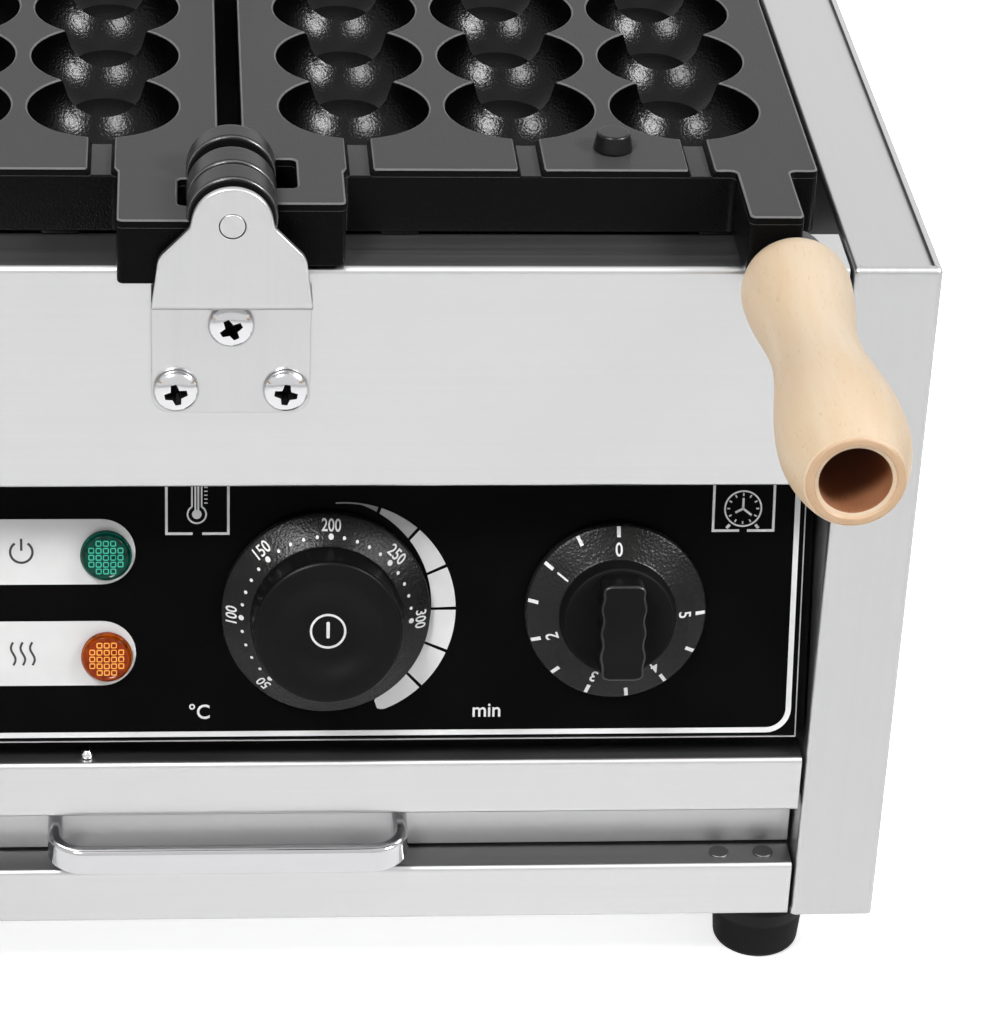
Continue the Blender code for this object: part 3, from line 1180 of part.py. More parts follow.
def main():
    clear_scene()
    body = carrier("body_frame", (0, FRONT_Y, DECK_Z))
    hinge = (0, FRONT_Y, DECK_Z + AXIS_HEIGHT)
    body_shell(body)
    feet(body)
    hinges(body)
    controls(body)
    wiring(body)
    tray_guides(body)
    pan(-1, "left", carrier("left_pan_axis", hinge))
    pan(1, "right", carrier("right_pan_axis", hinge))
    tray(carrier("tray_slide", (0, FRONT_Y, DECK_Z)))


main()
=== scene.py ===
"""Twin pan bubble waffle baker, dressed for rendering and laid out as a Blender add-on run as a script.

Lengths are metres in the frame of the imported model: x to the right, y to the back, z up.
The machine frame has its origin at the middle of the deck's front edge, so a place in it is
(x, depth behind the front face, rise above the deck).
"""
import json
import math

import bmesh
import bpy
import numpy as np
from mathutils import Matrix, Vector
from mathutils.geometry import tessellate_polygon


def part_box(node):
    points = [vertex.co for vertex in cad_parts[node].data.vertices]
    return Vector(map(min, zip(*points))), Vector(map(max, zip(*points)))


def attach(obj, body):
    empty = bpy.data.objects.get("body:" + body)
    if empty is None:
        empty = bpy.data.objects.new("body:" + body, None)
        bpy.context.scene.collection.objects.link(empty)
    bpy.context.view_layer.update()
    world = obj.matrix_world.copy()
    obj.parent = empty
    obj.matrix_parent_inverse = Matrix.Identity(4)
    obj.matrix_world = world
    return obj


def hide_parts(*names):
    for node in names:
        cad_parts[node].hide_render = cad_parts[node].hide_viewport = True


bl_info = {
    "name": "Bubble waffle baker",
    "version": (1, 0, 0),
    "blender": (4, 5, 0),
    "location": "View3D > Sidebar > Waffle baker",
    "description": "Surfaces, finishes and studio of a twin pan bubble waffle baker",
    "category": "Add Mesh",
}

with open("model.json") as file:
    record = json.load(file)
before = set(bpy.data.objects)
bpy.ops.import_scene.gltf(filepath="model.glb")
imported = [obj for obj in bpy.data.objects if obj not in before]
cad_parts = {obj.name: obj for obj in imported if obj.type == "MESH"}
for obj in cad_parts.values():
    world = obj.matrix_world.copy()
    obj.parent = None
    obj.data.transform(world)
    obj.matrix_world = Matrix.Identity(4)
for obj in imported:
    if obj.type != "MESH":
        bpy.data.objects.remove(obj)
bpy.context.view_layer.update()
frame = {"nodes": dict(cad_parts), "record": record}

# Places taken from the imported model
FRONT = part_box("front_fascia")[0].y
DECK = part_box("front_fascia")[1].z
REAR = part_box("rear_panel")[1].y
DEPTH = REAR - FRONT
AXIS = (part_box("front_hinge_pin")[0].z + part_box("front_hinge_pin")[1].z) / 2 - DECK
HALF_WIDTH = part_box("side_panel_right")[1].x
INNER_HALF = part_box("side_panel_right")[0].x
SPAN_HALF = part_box("front_fascia")[1].x
BODY_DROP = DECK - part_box("side_panel_right")[0].z
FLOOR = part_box("foot_front_left")[0].z

# Sheet metal
SHEET = 0.0012
FOLD = 0.0016
GAP = 0.0003
HOLD = 0.0004

# Distance below which points are merged, and angle in degrees below which shading stays smooth
MERGE = 2e-6
SMOOTH_BELOW = 32

# Moulds, in the machine frame
PAN_TOP = AXIS - 0.00025
PAN_THICK = 0.0180
PAN_INNER = 0.0031
PAN_OUTER = 0.1525
PAN_FRONT = 0.0185
PAN_REAR = DEPTH - PAN_FRONT
PAN_EDGE = 0.0008
PAN_CORNER = 0.0016
BLOCK_BOTTOM = PAN_TOP - 0.0245
BALL_RADIUS = 0.0200
BALL_PITCH = 0.0333
BALL_COUNT = 5
FIRST_BALL = 0.0577
STRINGS = (0.0333, 0.07765, 0.1220)
CELL_HALF = 0.0216
RIM_ROUND = 0.0007
CREST_ROUND = 0.0005
LUG_OUTER = 0.0290
LUG_INNER = 0.0080
LUGS = {
    -1: {"front": -0.0116, "knuckle_back": -0.0026, "slot_back": 0.0129, "slot_side": 0.0136},
    1: {"front": -0.0017, "knuckle_back": 0.0077, "slot_back": 0.0247, "slot_side": 0.0168},
}
DISC_SPANS = {
    -1: [(-0.0116, -0.0026), (0.0129, 0.0210)],
    1: [(-0.0017, 0.0077)],
}
DISC_RADIUS = 0.0115
PIN_RADIUS = 0.00325
DISC_BORE = PIN_RADIUS + 0.0002
GRIP_LUG = (0.1310, 0.1450, -0.0088)
PEG_X = 0.1000
PEG_DEPTH = 0.0314
UNDERSIDE_TOP = PAN_TOP - PAN_THICK + 0.0005

# Handles
HANDLE_X = 0.1426
HANDLE_RISE = AXIS - 0.0168
HANDLE_START = -0.0094
HANDLE_LENGTH = 0.1049
BORE_RADIUS = 0.0086
BORE_DEPTH = 0.0420

# Hinge brackets
BRACKET_FRONT = -0.0156
BRACKET_SHEET = 0.0020
BRACKET_HALF = 0.0205
BRACKET_SHELF = -0.0050
BRACKET_LOW = -0.0410
BRACKET_SCREWS = ((-0.0142, -0.0340), (0.0142, -0.0340), (0.0, -0.0150))

EAR_RADIUS = 0.0103
EAR_RISE = 0.0110
EAR_NECK = (0.0107, 0.0118)
EAR_SHOULDER = (0.0186, 0.0200)
SCREW_RADIUS = 0.0060
SCREW_HEIGHT = 0.0031
SCREW_SPINS = (12, -8, 28)

# Folded sheets, in the machine frame
STRIP = 0.0215
RAIL = -BODY_DROP + 0.0178
TRAY_TOP = -0.1530
TRAY_BAR_LOW = -0.1707
TRAY_RECESS = 0.0108
VENT_RISE = -0.1250

# Sloping control panel
PANEL_TOP = (0.0232, -0.0580)
PANEL_LOW = (0.0016, -0.1470)
PANEL_TILT = math.atan2(PANEL_TOP[0] - PANEL_LOW[0], PANEL_TOP[1] - PANEL_LOW[1])
KNOB_DROP = 0.1097
TEMPERATURE_X = 0.0263
TIMER_X = 0.1057
LAMP_X = -0.0332
GREEN_DROP = 0.0940
AMBER_DROP = 0.1222
PRINT_PROUD = 0.00012
PRINT_SUNK = 0.0001
PRINT_HEAD = 0.0600

# Knobs and lenses, out of the panel's face
KNOB_LOW = 0.0010
SHAFT_RADIUS = 0.0033
SHAFT_END = 0.0068
MARK_RADIUS = 0.0231
LENS_RADIUS = 0.0054
LENS_RISE = 0.0028
LENS_BULGE = 0.0004

# Arc of rising heat on the panel: two circles that are not concentric, and degrees of its gaps
ARC_RADIUS = 0.0309
ARC_CENTRE = (0.0310, -0.0002)
ARC_INNER_CENTRE = (0.0243, 0.00125)
ARC_STARTS = (95.0, 71.5, 48.7, 24.3, 0.9, -22.6, -45.6, -72.0)
ARC_HALF_GAP = 0.9

# Angles of the dial marks, clockwise from the top in degrees
HEAT_MARKS = ((50, -138.7), (100, -89.5), (150, -43.7), (200, 2.6), (250, 47.6), (300, 92.4))
TIMER_MARKS = ((0, 0.0), (1, -54.3), (2, -108.7), (3, -161.4), (4, -215.3), (5, -269.7))


def place(x, depth, rise):
    """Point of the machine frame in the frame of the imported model."""
    return Vector((x, FRONT + depth, DECK + rise))


MACHINE = Matrix.Translation(place(0, 0, 0))


def seat(origin, along, up=(0.0, 0.0, 1.0)):
    """Matrix of a local frame whose z runs along a direction and whose y leans to up."""
    z = Vector(along).normalized()
    x = Vector(up).cross(z)
    x = x.normalized() if x.length > 1e-6 else Vector((1.0, 0.0, 0.0))
    y = z.cross(x)
    turn = Matrix((x, y, z)).transposed().to_4x4()
    return Matrix.Translation(origin) @ turn


def panel_seat(x, drop):
    """Local frame on the face of the sloping panel: z out of it, y up along it."""
    share = (drop + PANEL_TOP[1]) / (PANEL_TOP[1] - PANEL_LOW[1])
    depth = PANEL_TOP[0] + share * (PANEL_LOW[0] - PANEL_TOP[0])
    normal = (0.0, -math.cos(PANEL_TILT), math.sin(PANEL_TILT))
    return seat(place(x, depth, -drop), normal)


def moved(points, matrix):
    """Points of any grid carried by a matrix."""
    table = np.array(matrix)
    return np.asarray(points, float) @ table[:3, :3].T + table[:3, 3]


def rounded(points, radius, closed=False, steps=8, hold=HOLD):
    """Polyline whose corners become arcs that touch both edges.

    A corner of inner angle a loses r / tan(a / 2) of each edge, and its arc is the
    great circle blend of the two radii. A point is kept just outside each arc, so
    that smooth shading stays flat beyond it.
    """
    corners = np.asarray(points, float)
    count = len(corners)
    radii = np.broadcast_to(np.asarray(radius, float), count)
    path = []
    for i in range(count):
        corner, last, following = corners[i], corners[i - 1], corners[(i + 1) % count]
        if radii[i] <= 0 or (not closed and i in (0, count - 1)):
            path.append(corner[None])
            continue
        back, ahead = last - corner, following - corner
        room_back, room_ahead = np.linalg.norm(back), np.linalg.norm(ahead)
        back, ahead = back / room_back, ahead / room_ahead
        inner = math.acos(np.clip(back @ ahead, -1, 1))
        if inner > math.pi - 1e-3:
            path.append(corner[None])
            continue
        cut = min(radii[i] / math.tan(inner / 2), 0.48 * room_back, 0.48 * room_ahead)
        size = cut * math.tan(inner / 2)
        centre = corner + (back + ahead) / np.linalg.norm(back + ahead) * size / math.sin(inner / 2)
        turn = math.pi - inner
        share = np.linspace(0, 1, steps + 1)[:, None]
        first, last_spoke = corner + back * cut - centre, corner + ahead * cut - centre
        arc = (np.sin((1 - share) * turn) * first + np.sin(share * turn) * last_spoke) / math.sin(turn)
        if hold and cut + hold < 0.49 * room_back:
            path.append((corner + back * (cut + hold))[None])
        path.append(centre + arc)
        if hold and cut + hold < 0.49 * room_ahead:
            path.append((corner + ahead * (cut + hold))[None])
    return np.concatenate(path)


def offset(path, distance, closed=False):
    """Polyline moved to its left by a distance, mitred at every point."""
    path = np.asarray(path, float)
    if closed:
        ahead = np.roll(path, -1, 0) - path
        ahead /= np.linalg.norm(ahead, axis=1, keepdims=True)
        back = np.roll(ahead, 1, 0)
    else:
        step = np.diff(path, axis=0)
        step /= np.linalg.norm(step, axis=1, keepdims=True)
        ahead = np.concatenate((step, step[-1:]))
        back = np.concatenate((step[:1], step))
    normal = np.stack((-(ahead + back)[:, 1], (ahead + back)[:, 0]), 1)
    normal /= np.linalg.norm(normal, axis=1, keepdims=True)
    left = np.stack((-ahead[:, 1], ahead[:, 0]), 1)
    stretch = np.clip((normal * left).sum(1, keepdims=True), 0.3, 1)
    return path + normal / stretch * distance


class Shape:
    """Surfaces gathered into one mesh, whose shared points are merged at the end."""

    def __init__(self):
        self.points = []
        self.faces = []
        self.count = 0

    def add(self, points, faces):
        """Add points and faces that index them from zero."""
        flat = np.asarray(points, float).reshape(-1, 3)
        self.faces += [[int(i) + self.count for i in face] for face in faces]
        self.points.append(flat)
        self.count += len(flat)

    def grid(self, points, wrap_rows=False, wrap_columns=False):
        """Quads between the rows and columns of a grid of points."""
        points = np.asarray(points, float)
        rows, columns = points.shape[:2]
        i = np.arange(rows if wrap_rows else rows - 1)[:, None]
        j = np.arange(columns if wrap_columns else columns - 1)[None]
        here, below, right = i * columns, (i + 1) % rows * columns, (j + 1) % columns
        quads = np.stack((here + j, below + j, below + right, here + right), -1)
        self.add(points, quads.reshape(-1, 4).tolist())

    def cap(self, ring):
        """One flat face inside a ring."""
        self.add(ring, [range(len(ring))])

    def plate(self, loops):
        """Flat region inside the first loop and outside the others."""
        triangles = tessellate_polygon([[Vector(p) for p in loop] for loop in loops])
        self.add(np.concatenate(loops), triangles)

    def turned(self, profile, steps, matrix=None):
        """Profile of (radius, height) carried round the local z axis: (r cos a, r sin a, h)."""
        profile = np.asarray(profile, float)
        angles = np.linspace(0, math.tau, steps, endpoint=False)
        radius, height = profile[:, :1], np.repeat(profile[:, 1:], len(angles), 1)
        grid = np.stack((radius * np.cos(angles), radius * np.sin(angles), height), -1)
        self.grid(grid if matrix is None else moved(grid, matrix), wrap_columns=True)
        return self

    def mesh(self, name, sharp=SMOOTH_BELOW):
        """Finished mesh: doubles merged, normals outward and shading smooth below an angle."""
        made = bpy.data.meshes.new(name)
        made.from_pydata(np.concatenate(self.points).tolist(), [], self.faces)
        bm = bmesh.new()
        bm.from_mesh(made)
        bmesh.ops.remove_doubles(bm, verts=bm.verts, dist=MERGE)
        bmesh.ops.dissolve_degenerate(bm, dist=MERGE / 4, edges=bm.edges)
        bmesh.ops.recalc_face_normals(bm, faces=bm.faces)
        bm.to_mesh(made)
        bm.free()
        return smoothed(made, sharp)


def smoothed(mesh, sharp=SMOOTH_BELOW):
    """Shade a mesh smooth across every edge below an angle."""
    mesh.shade_smooth()
    mesh.set_sharp_from_angle(angle=math.radians(sharp))
    return mesh


def linked(name, data):
    """New object in the scene's collection."""
    made = bpy.data.objects.new(name, data)
    bpy.context.scene.collection.objects.link(made)
    return made


def evaluated(holder):
    """Mesh of an object as its modifiers or its text leave it."""
    bpy.context.view_layer.update()
    graph = bpy.context.evaluated_depsgraph_get()
    return bpy.data.meshes.new_from_object(holder.evaluated_get(graph), depsgraph=graph)


def finish(name):
    """A finish by name."""
    return bpy.data.materials[name]


def piece(name, shape, coat, body, replaces=(), sharp=SMOOTH_BELOW):
    """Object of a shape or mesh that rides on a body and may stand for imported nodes."""
    mesh = shape.mesh(name, sharp) if isinstance(shape, Shape) else shape
    if not len(mesh.materials):
        mesh.materials.append(finish(coat))
    made = linked(name, mesh)
    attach(made, body)
    if replaces:
        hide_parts(*replaces)
    return made


def second_finish(made, name, chosen):
    """Give a second finish to the faces that a test of (centre, normal) picks."""
    mesh = made.data
    mesh.materials.append(finish(name))
    slot = len(mesh.materials) - 1
    for face in mesh.polygons:
        if chosen(face.center, face.normal):
            face.material_index = slot


def within(carry, radius, low=-1.0):
    """Test for second_finish: faces near the axis of a local frame and above a height in it."""
    local = carry.inverted()

    def near(centre, _):
        spot = local @ centre
        return math.hypot(spot.x, spot.y) < radius and spot.z > low
    return near


def cut(target, cutter):
    """Apply an exact boolean difference of a closed shape to an object."""
    mesh = cutter.mesh("cutter")
    tool = linked("cutter", mesh)
    step = target.modifiers.new("cut", "BOOLEAN")
    step.object = tool
    step.operation = "DIFFERENCE"
    step.solver = "EXACT"
    made = evaluated(target)
    made.name = target.data.name
    target.modifiers.clear()
    coat = target.data.materials[0]
    target.data = smoothed(made)
    made.materials.clear()
    made.materials.append(coat)
    bpy.data.objects.remove(tool)
    bpy.data.meshes.remove(mesh)


def loft(shape, rings, capped=True):
    """Rings of equal length joined in order, with flat ends if capped."""
    shape.grid(np.stack(rings), wrap_columns=True)
    if capped:
        shape.cap(rings[0])
        shape.cap(rings[-1])
    return shape


def raised(ring, height, matrix=None):
    """Flat ring of (a, b) points as points at a height."""
    points = np.concatenate((ring, np.full((len(ring), 1), height)), 1)
    return points if matrix is None else moved(points, matrix)


def rim_rings(outline, low, high, edge, matrix=None, steps=4, hold=HOLD):
    """Rings up a prism over a closed outline, with a quarter circle carried round both rims."""
    turns = np.linspace(0, math.pi / 2, steps + 1)
    ahead = np.roll(outline, -1, 0)
    area = np.sum(outline[:, 0] * ahead[:, 1] - ahead[:, 0] * outline[:, 1])
    side = 1 if area > 0 else -1
    stations = [(edge + hold, low)]
    stations += [(edge * (1 - math.sin(t)), low + edge * (1 - math.cos(t))) for t in turns]
    stations += [(edge * (1 - math.cos(t)), high - edge * (1 - math.sin(t))) for t in turns]
    stations += [(edge + hold, high)]
    return [raised(offset(outline, side * inset, True), height, matrix) for inset, height in stations]


def slab(*form, **more):
    """Closed prism with rounded rims, of the sizes that rim_rings takes."""
    return loft(Shape(), rim_rings(*form, **more))


def folded(outline):
    """Sheet folded along (depth, rise) points, with the metal to the left of the walk."""
    path = rounded(outline, FOLD)
    section = np.concatenate((path, offset(path, SHEET)[::-1]))
    rows = []
    for x in (-SPAN_HALF, SPAN_HALF):
        rows.append(np.stack((np.full(len(section), x), FRONT + section[:, 0], DECK + section[:, 1]), 1))
    return loft(Shape(), rows)


# Finishes

def group(name, inputs, outputs):
    """Empty shader node group with named sockets: its tree, what it is given, and its end node."""
    made = bpy.data.node_groups.new(name, "ShaderNodeTree")
    for label, kind, value in inputs:
        socket = made.interface.new_socket(name=label, in_out="INPUT", socket_type=f"NodeSocket{kind}")
        if value is not None:
            socket.default_value = value
    for label, kind in outputs:
        made.interface.new_socket(name=label, in_out="OUTPUT", socket_type=f"NodeSocket{kind}")
    return made, made.nodes.new("NodeGroupInput").outputs, made.nodes.new("NodeGroupOutput")


def feed(tree, made, values):
    """Give inputs of a node their values; a socket given as a value is linked."""
    for key, value in values.items():
        if isinstance(value, bpy.types.NodeSocket):
            tree.links.new(value, made.inputs[key])
        else:
            made.inputs[key].default_value = value


def node(tree, kind, values, **settings):
    """Node with its settings and its inputs fed."""
    made = tree.nodes.new(f"ShaderNode{kind}")
    for key, value in settings.items():
        setattr(made, key, value)
    feed(tree, made, values)
    return made


def math_node(tree, operation, first, second):
    """Output of a math node on two numbers or sockets."""
    return node(tree, "Math", {0: first, 1: second}, operation=operation).outputs[0]


def mixed(tree, factor, first, second, **settings):
    """Output of a colour mix."""
    values = {"Factor": factor, 6: first, 7: second}
    return node(tree, "Mix", values, data_type="RGBA", **settings).outputs[2]


def bumped(tree, height, distance):
    """Normal output of a bump."""
    return node(tree, "Bump", {"Strength": 1.0, "Height": height, "Distance": distance}).outputs["Normal"]


def streaks_group():
    """Streaks along one direction: fine noise read through a stretched mapping."""
    tree, given, end = group(
        "streaks",
        [("Vector", "Vector", None), ("Along", "Vector", (6.0, 900.0, 900.0)), ("Depth", "Float", 0.00001),
         ("Blotch", "Float", 9.0)],
        [("Streak", "Float"), ("Cloud", "Float"), ("Normal", "Vector")])
    scaled = node(tree, "VectorMath", {0: given["Vector"], 1: given["Along"]}, operation="MULTIPLY")
    values = {"Vector": scaled.outputs[0], "Scale": 1.0, "Detail": 3.0, "Roughness": 0.65}
    fine = node(tree, "TexNoise", values).outputs["Fac"]
    cloud = node(tree, "TexNoise", {"Vector": given["Vector"], "Scale": given["Blotch"], "Detail": 2.0})
    feed(tree, end, {"Streak": fine, "Cloud": cloud.outputs["Fac"],
                     "Normal": bumped(tree, fine, given["Depth"])})


def grain_group():
    """Pebbled grain: rounded cells and fine noise summed into one bump."""
    tree, given, end = group(
        "grain",
        [("Vector", "Vector", None), ("Cell Scale", "Float", 1200.0), ("Noise Scale", "Float", 1500.0),
         ("Depth", "Float", 0.00004), ("Cells", "Float", 1.0)],
        [("Height", "Float"), ("Cloud", "Float"), ("Normal", "Vector")])
    place_in = given["Vector"]
    cells = node(tree, "TexVoronoi", {"Vector": place_in, "Scale": given["Cell Scale"]}, feature="SMOOTH_F1")
    values = {"Vector": place_in, "Scale": given["Noise Scale"], "Detail": 3.0, "Roughness": 0.6}
    noise = node(tree, "TexNoise", values)
    cloud = node(tree, "TexNoise", {"Vector": place_in, "Scale": 45.0, "Detail": 3.0})
    weighted = math_node(tree, "MULTIPLY", cells.outputs["Distance"], given["Cells"])
    height = math_node(tree, "ADD", weighted, noise.outputs["Fac"])
    feed(tree, end, {"Height": height, "Cloud": cloud.outputs["Fac"],
                     "Normal": bumped(tree, height, given["Depth"])})


def tint_group():
    """Two colours mixed by a mask that is stretched between two levels."""
    tree, given, end = group(
        "tint",
        [("Mask", "Float", 0.5), ("Low", "Float", 0.3), ("High", "Float", 0.7),
         ("Dark", "Color", (0, 0, 0, 1)), ("Light", "Color", (1, 1, 1, 1))],
        [("Color", "Color")])
    values = {"Value": given["Mask"], "From Min": given["Low"], "From Max": given["High"]}
    share = node(tree, "MapRange", values).outputs["Result"]
    feed(tree, end, {"Color": mixed(tree, share, given["Dark"], given["Light"])})


def spaced(values):
    """Keywords as socket names, with a space for each underscore."""
    return {key.replace("_", " "): value for key, value in values.items()}


def times(colour, share):
    """Colour with each part multiplied by a share."""
    return tuple(c * share for c in colour)


class Finish:
    """One material: its Principled shader, and the groups placed in it."""

    def __init__(self, name, colour, roughness, metallic=0.0, **more):
        self.material = bpy.data.materials.new(name)
        self.material.use_nodes = True
        self.tree = self.material.node_tree
        self.dress(Base_Color=(*colour, 1), Roughness=roughness, Metallic=metallic, **more)
        self.place = node(self.tree, "TexCoord", {}).outputs["Object"]

    def dress(self, **values):
        """Feed the inputs of the shader."""
        feed(self.tree, self.tree.nodes["Principled BSDF"], spaced(values))

    def use(self, name, **values):
        """Outputs of a shared group placed in the tree, fed with the place on the object."""
        values = {"Vector": self.place, **spaced(values)}
        return node(self.tree, "Group", values, node_tree=bpy.data.node_groups[name]).outputs

    def tint(self, mask, low, high, dark, light):
        """Two colours by a mask stretched between two levels."""
        values = {"Mask": mask, "Low": low, "High": high, "Dark": (*dark, 1), "Light": (*light, 1)}
        return node(self.tree, "Group", values, node_tree=bpy.data.node_groups["tint"]).outputs["Color"]

    def between(self, socket, low, high):
        """Value carried from 0..1 to a range."""
        values = {"Value": socket, "To Min": low, "To Max": high}
        return node(self.tree, "MapRange", values).outputs["Result"]


def steel_finish(name, along, colour, roughness=0.30):
    """Brushed stainless sheet: streaks drive colour, gloss and bump."""
    made = Finish(name, colour, roughness, 1.0)
    streaks = made.use("streaks", Along=along, Depth=0.000006, Blotch=9.0)
    made.dress(Base_Color=made.tint(streaks["Streak"], 0.25, 0.75, times(colour, 0.965), colour),
               Roughness=made.between(streaks["Streak"], roughness - 0.05, roughness + 0.06),
               Normal=streaks["Normal"])


def dark_finish(name, colour, light, roughness, cell_scale, noise_scale, depth, cells=1.0, **more):
    """Black coating, plastic or rubber with a pebbled grain and a clouded tint."""
    made = Finish(name, colour, roughness, **more)
    grain = made.use("grain", Cell_Scale=cell_scale, Noise_Scale=noise_scale, Depth=depth, Cells=cells)
    made.dress(Base_Color=made.tint(grain["Cloud"], 0.35, 0.65, colour, light),
               Roughness=made.between(grain["Cloud"], roughness - 0.05, roughness + 0.05),
               Normal=grain["Normal"])


def cast_finish(name, wall, land_painted_sheen, rim):
    """Mould coating: black grained walls, with painted light by height: the land and groove floors lighter as
    a painted sheen where flat faces catch the light, and a thin painted highlight on the rims.

    The height below the parting face picks the tone, so it turns with the mould.
    """
    reach = 0.0030
    top = DECK + PAN_TOP
    made = Finish(name, wall, 0.22, Specular_IOR_Level=0.03)
    grain = made.use("grain", Cell_Scale=2300.0, Noise_Scale=1500.0, Depth=0.00009, Cells=1.0)
    split = node(made.tree, "SeparateXYZ", {0: made.place})
    values = {"Value": split.outputs["Z"], "From Min": top - reach, "From Max": top}
    height = node(made.tree, "MapRange", values)
    tone = node(made.tree, "ValToRGB", {"Fac": height.outputs["Result"]})
    stops = tone.color_ramp
    stops.interpolation = "CONSTANT"
    # Painted light by height: a painted sheen on the land and groove floors, a thin painted highlight on the
    # rims
    for drop, colour in ((-0.00226, land_painted_sheen), (-0.00212, wall), (-0.00042, rim), (-0.00004, land_painted_sheen)):
        stops.elements.new(1 + drop / reach).color = (*colour, 1)
    stops.elements[0].color = (*wall, 1)
    stops.elements[-1].color = (*land_painted_sheen, 1)
    made.dress(Base_Color=tone.outputs["Color"], Roughness=made.between(grain["Cloud"], 0.18, 0.26),
               Normal=grain["Normal"])


def wood_finish(name, pale, warm, fleck):
    """Turned beech: long soft figure along y, short dark flecks and fine pores."""
    made = Finish(name, pale, 0.46, Specular_IOR_Level=0.35)
    figure = made.use("streaks", Along=(95.0, 9.0, 60.0), Depth=0.00001, Blotch=28.0)
    pores = made.use("streaks", Along=(1500.0, 140.0, 1500.0), Depth=0.00002, Blotch=60.0)
    base = made.tint(figure["Streak"], 0.32, 0.72, warm, pale)
    marks = made.tint(pores["Streak"], 0.28, 0.40, fleck, (1, 1, 1))
    made.dress(Base_Color=mixed(made.tree, 1.0, base, marks, blend_type="MULTIPLY"),
               Roughness=made.between(figure["Cloud"], 0.40, 0.55), Normal=pores["Normal"])


def polished_finish(name, colour, roughness):
    """Chrome or plated steel with faint wiping marks in its gloss."""
    made = Finish(name, colour, roughness, 1.0)
    marks = made.use("streaks", Along=(70.0, 70.0, 110.0), Depth=0.000002, Blotch=120.0)
    made.dress(Roughness=made.between(marks["Cloud"], roughness * 0.5, roughness * 1.7))


def plain_finish(name, colour, light, roughness, **more):
    """Smooth paint, print or ceramic with a slight unevenness."""
    dark_finish(name, colour, light, roughness, 700.0, 700.0, 0.000004, 0.3, **more)


def lens_finish(name, deep, bright):
    """Tinted lamp lens lit a little from behind."""
    made = Finish(name, bright, 0.12, Emission_Strength=0.08, Specular_IOR_Level=0.14)
    grain = made.use("grain", Cell_Scale=520.0, Noise_Scale=300.0, Depth=0.00005, Cells=1.0)
    tinted = made.tint(grain["Height"], 0.45, 1.0, deep, bright)
    made.dress(Base_Color=tinted, Emission_Color=tinted, Normal=grain["Normal"])


# Settings

def colour_setting(name, description, *level):
    """Colour of a settings group."""
    return bpy.props.FloatVectorProperty(name=name, description=description, subtype="COLOR", size=3,
                                         min=0, max=1, default=level)


def measure_setting(name, description, default, unit="LENGTH"):
    """Length or power of a settings group."""
    return bpy.props.FloatProperty(name=name, description=description, default=default, unit=unit)


def count_setting(name, description, default, least):
    """Whole number of a settings group."""
    return bpy.props.IntProperty(name=name, description=description, default=default, min=least)


class BakerFinishes(bpy.types.PropertyGroup):
    """Colours of the finishes."""

    steel: colour_setting("Steel", "Brushed stainless sheet", 0.51, 0.51, 0.513)
    casting: colour_setting("Casting", "Coating of the moulds", 0.004, 0.004, 0.004)
    wood: colour_setting("Wood", "Pale turned handles", 0.78, 0.64, 0.485)
    panel: colour_setting("Panel", "Black control panel", 0.002, 0.002, 0.002)
    print: colour_setting("Print", "White marks", 0.86, 0.86, 0.86)


class BakerSizes(bpy.types.PropertyGroup):
    """Fineness of the surfaces and small sizes that no solid fixes."""

    ball_turns: count_setting("Ball turns", "Directions round each ball", 96, 24)
    ball_rows: count_setting("Ball rows", "Rows from a ball's pole to its rim", 20, 6)
    groove_width: measure_setting("Groove width", "Stick groove at the parting face", 0.0070)
    groove_depth: measure_setting("Groove depth", "Stick groove below the parting face", 0.0022)
    waist: measure_setting("Handle waist", "Smallest radius of a handle", 0.0112)
    swell: measure_setting("Handle swell", "Largest radius of a handle", 0.0157)


class BakerStage(bpy.types.PropertyGroup):
    """Studio round the machine."""

    floor: colour_setting("Floor", "Colour of the floor", 0.93, 0.93, 0.93)
    overhead: measure_setting("Overhead", "Power of the lamp overhead", 1.2, "POWER")
    back: measure_setting("Back", "Power of the wide lamp behind", 13.0, "POWER")
    sparkle: measure_setting("Sparkle", "Power of the side lamps in gloss alone", 50.0, "POWER")
    side: measure_setting("Side", "Power of the side lamps", 15.0, "POWER")


# Moulds

def ball_depth(radius):
    """Depth of a cavity at a distance from its centre: sphere, quarter round of the rim, then none."""
    rim = math.sqrt((BALL_RADIUS + RIM_ROUND) ** 2 - RIM_ROUND ** 2)
    touch = BALL_RADIUS * rim / (BALL_RADIUS + RIM_ROUND)
    sphere = np.sqrt(np.clip(BALL_RADIUS ** 2 - radius ** 2, 0, None))
    fillet = RIM_ROUND - np.sqrt(np.clip(RIM_ROUND ** 2 - (rim - radius) ** 2, 0, None))
    return np.where(radius <= touch, sphere, np.where(radius < rim, fillet, 0.0))


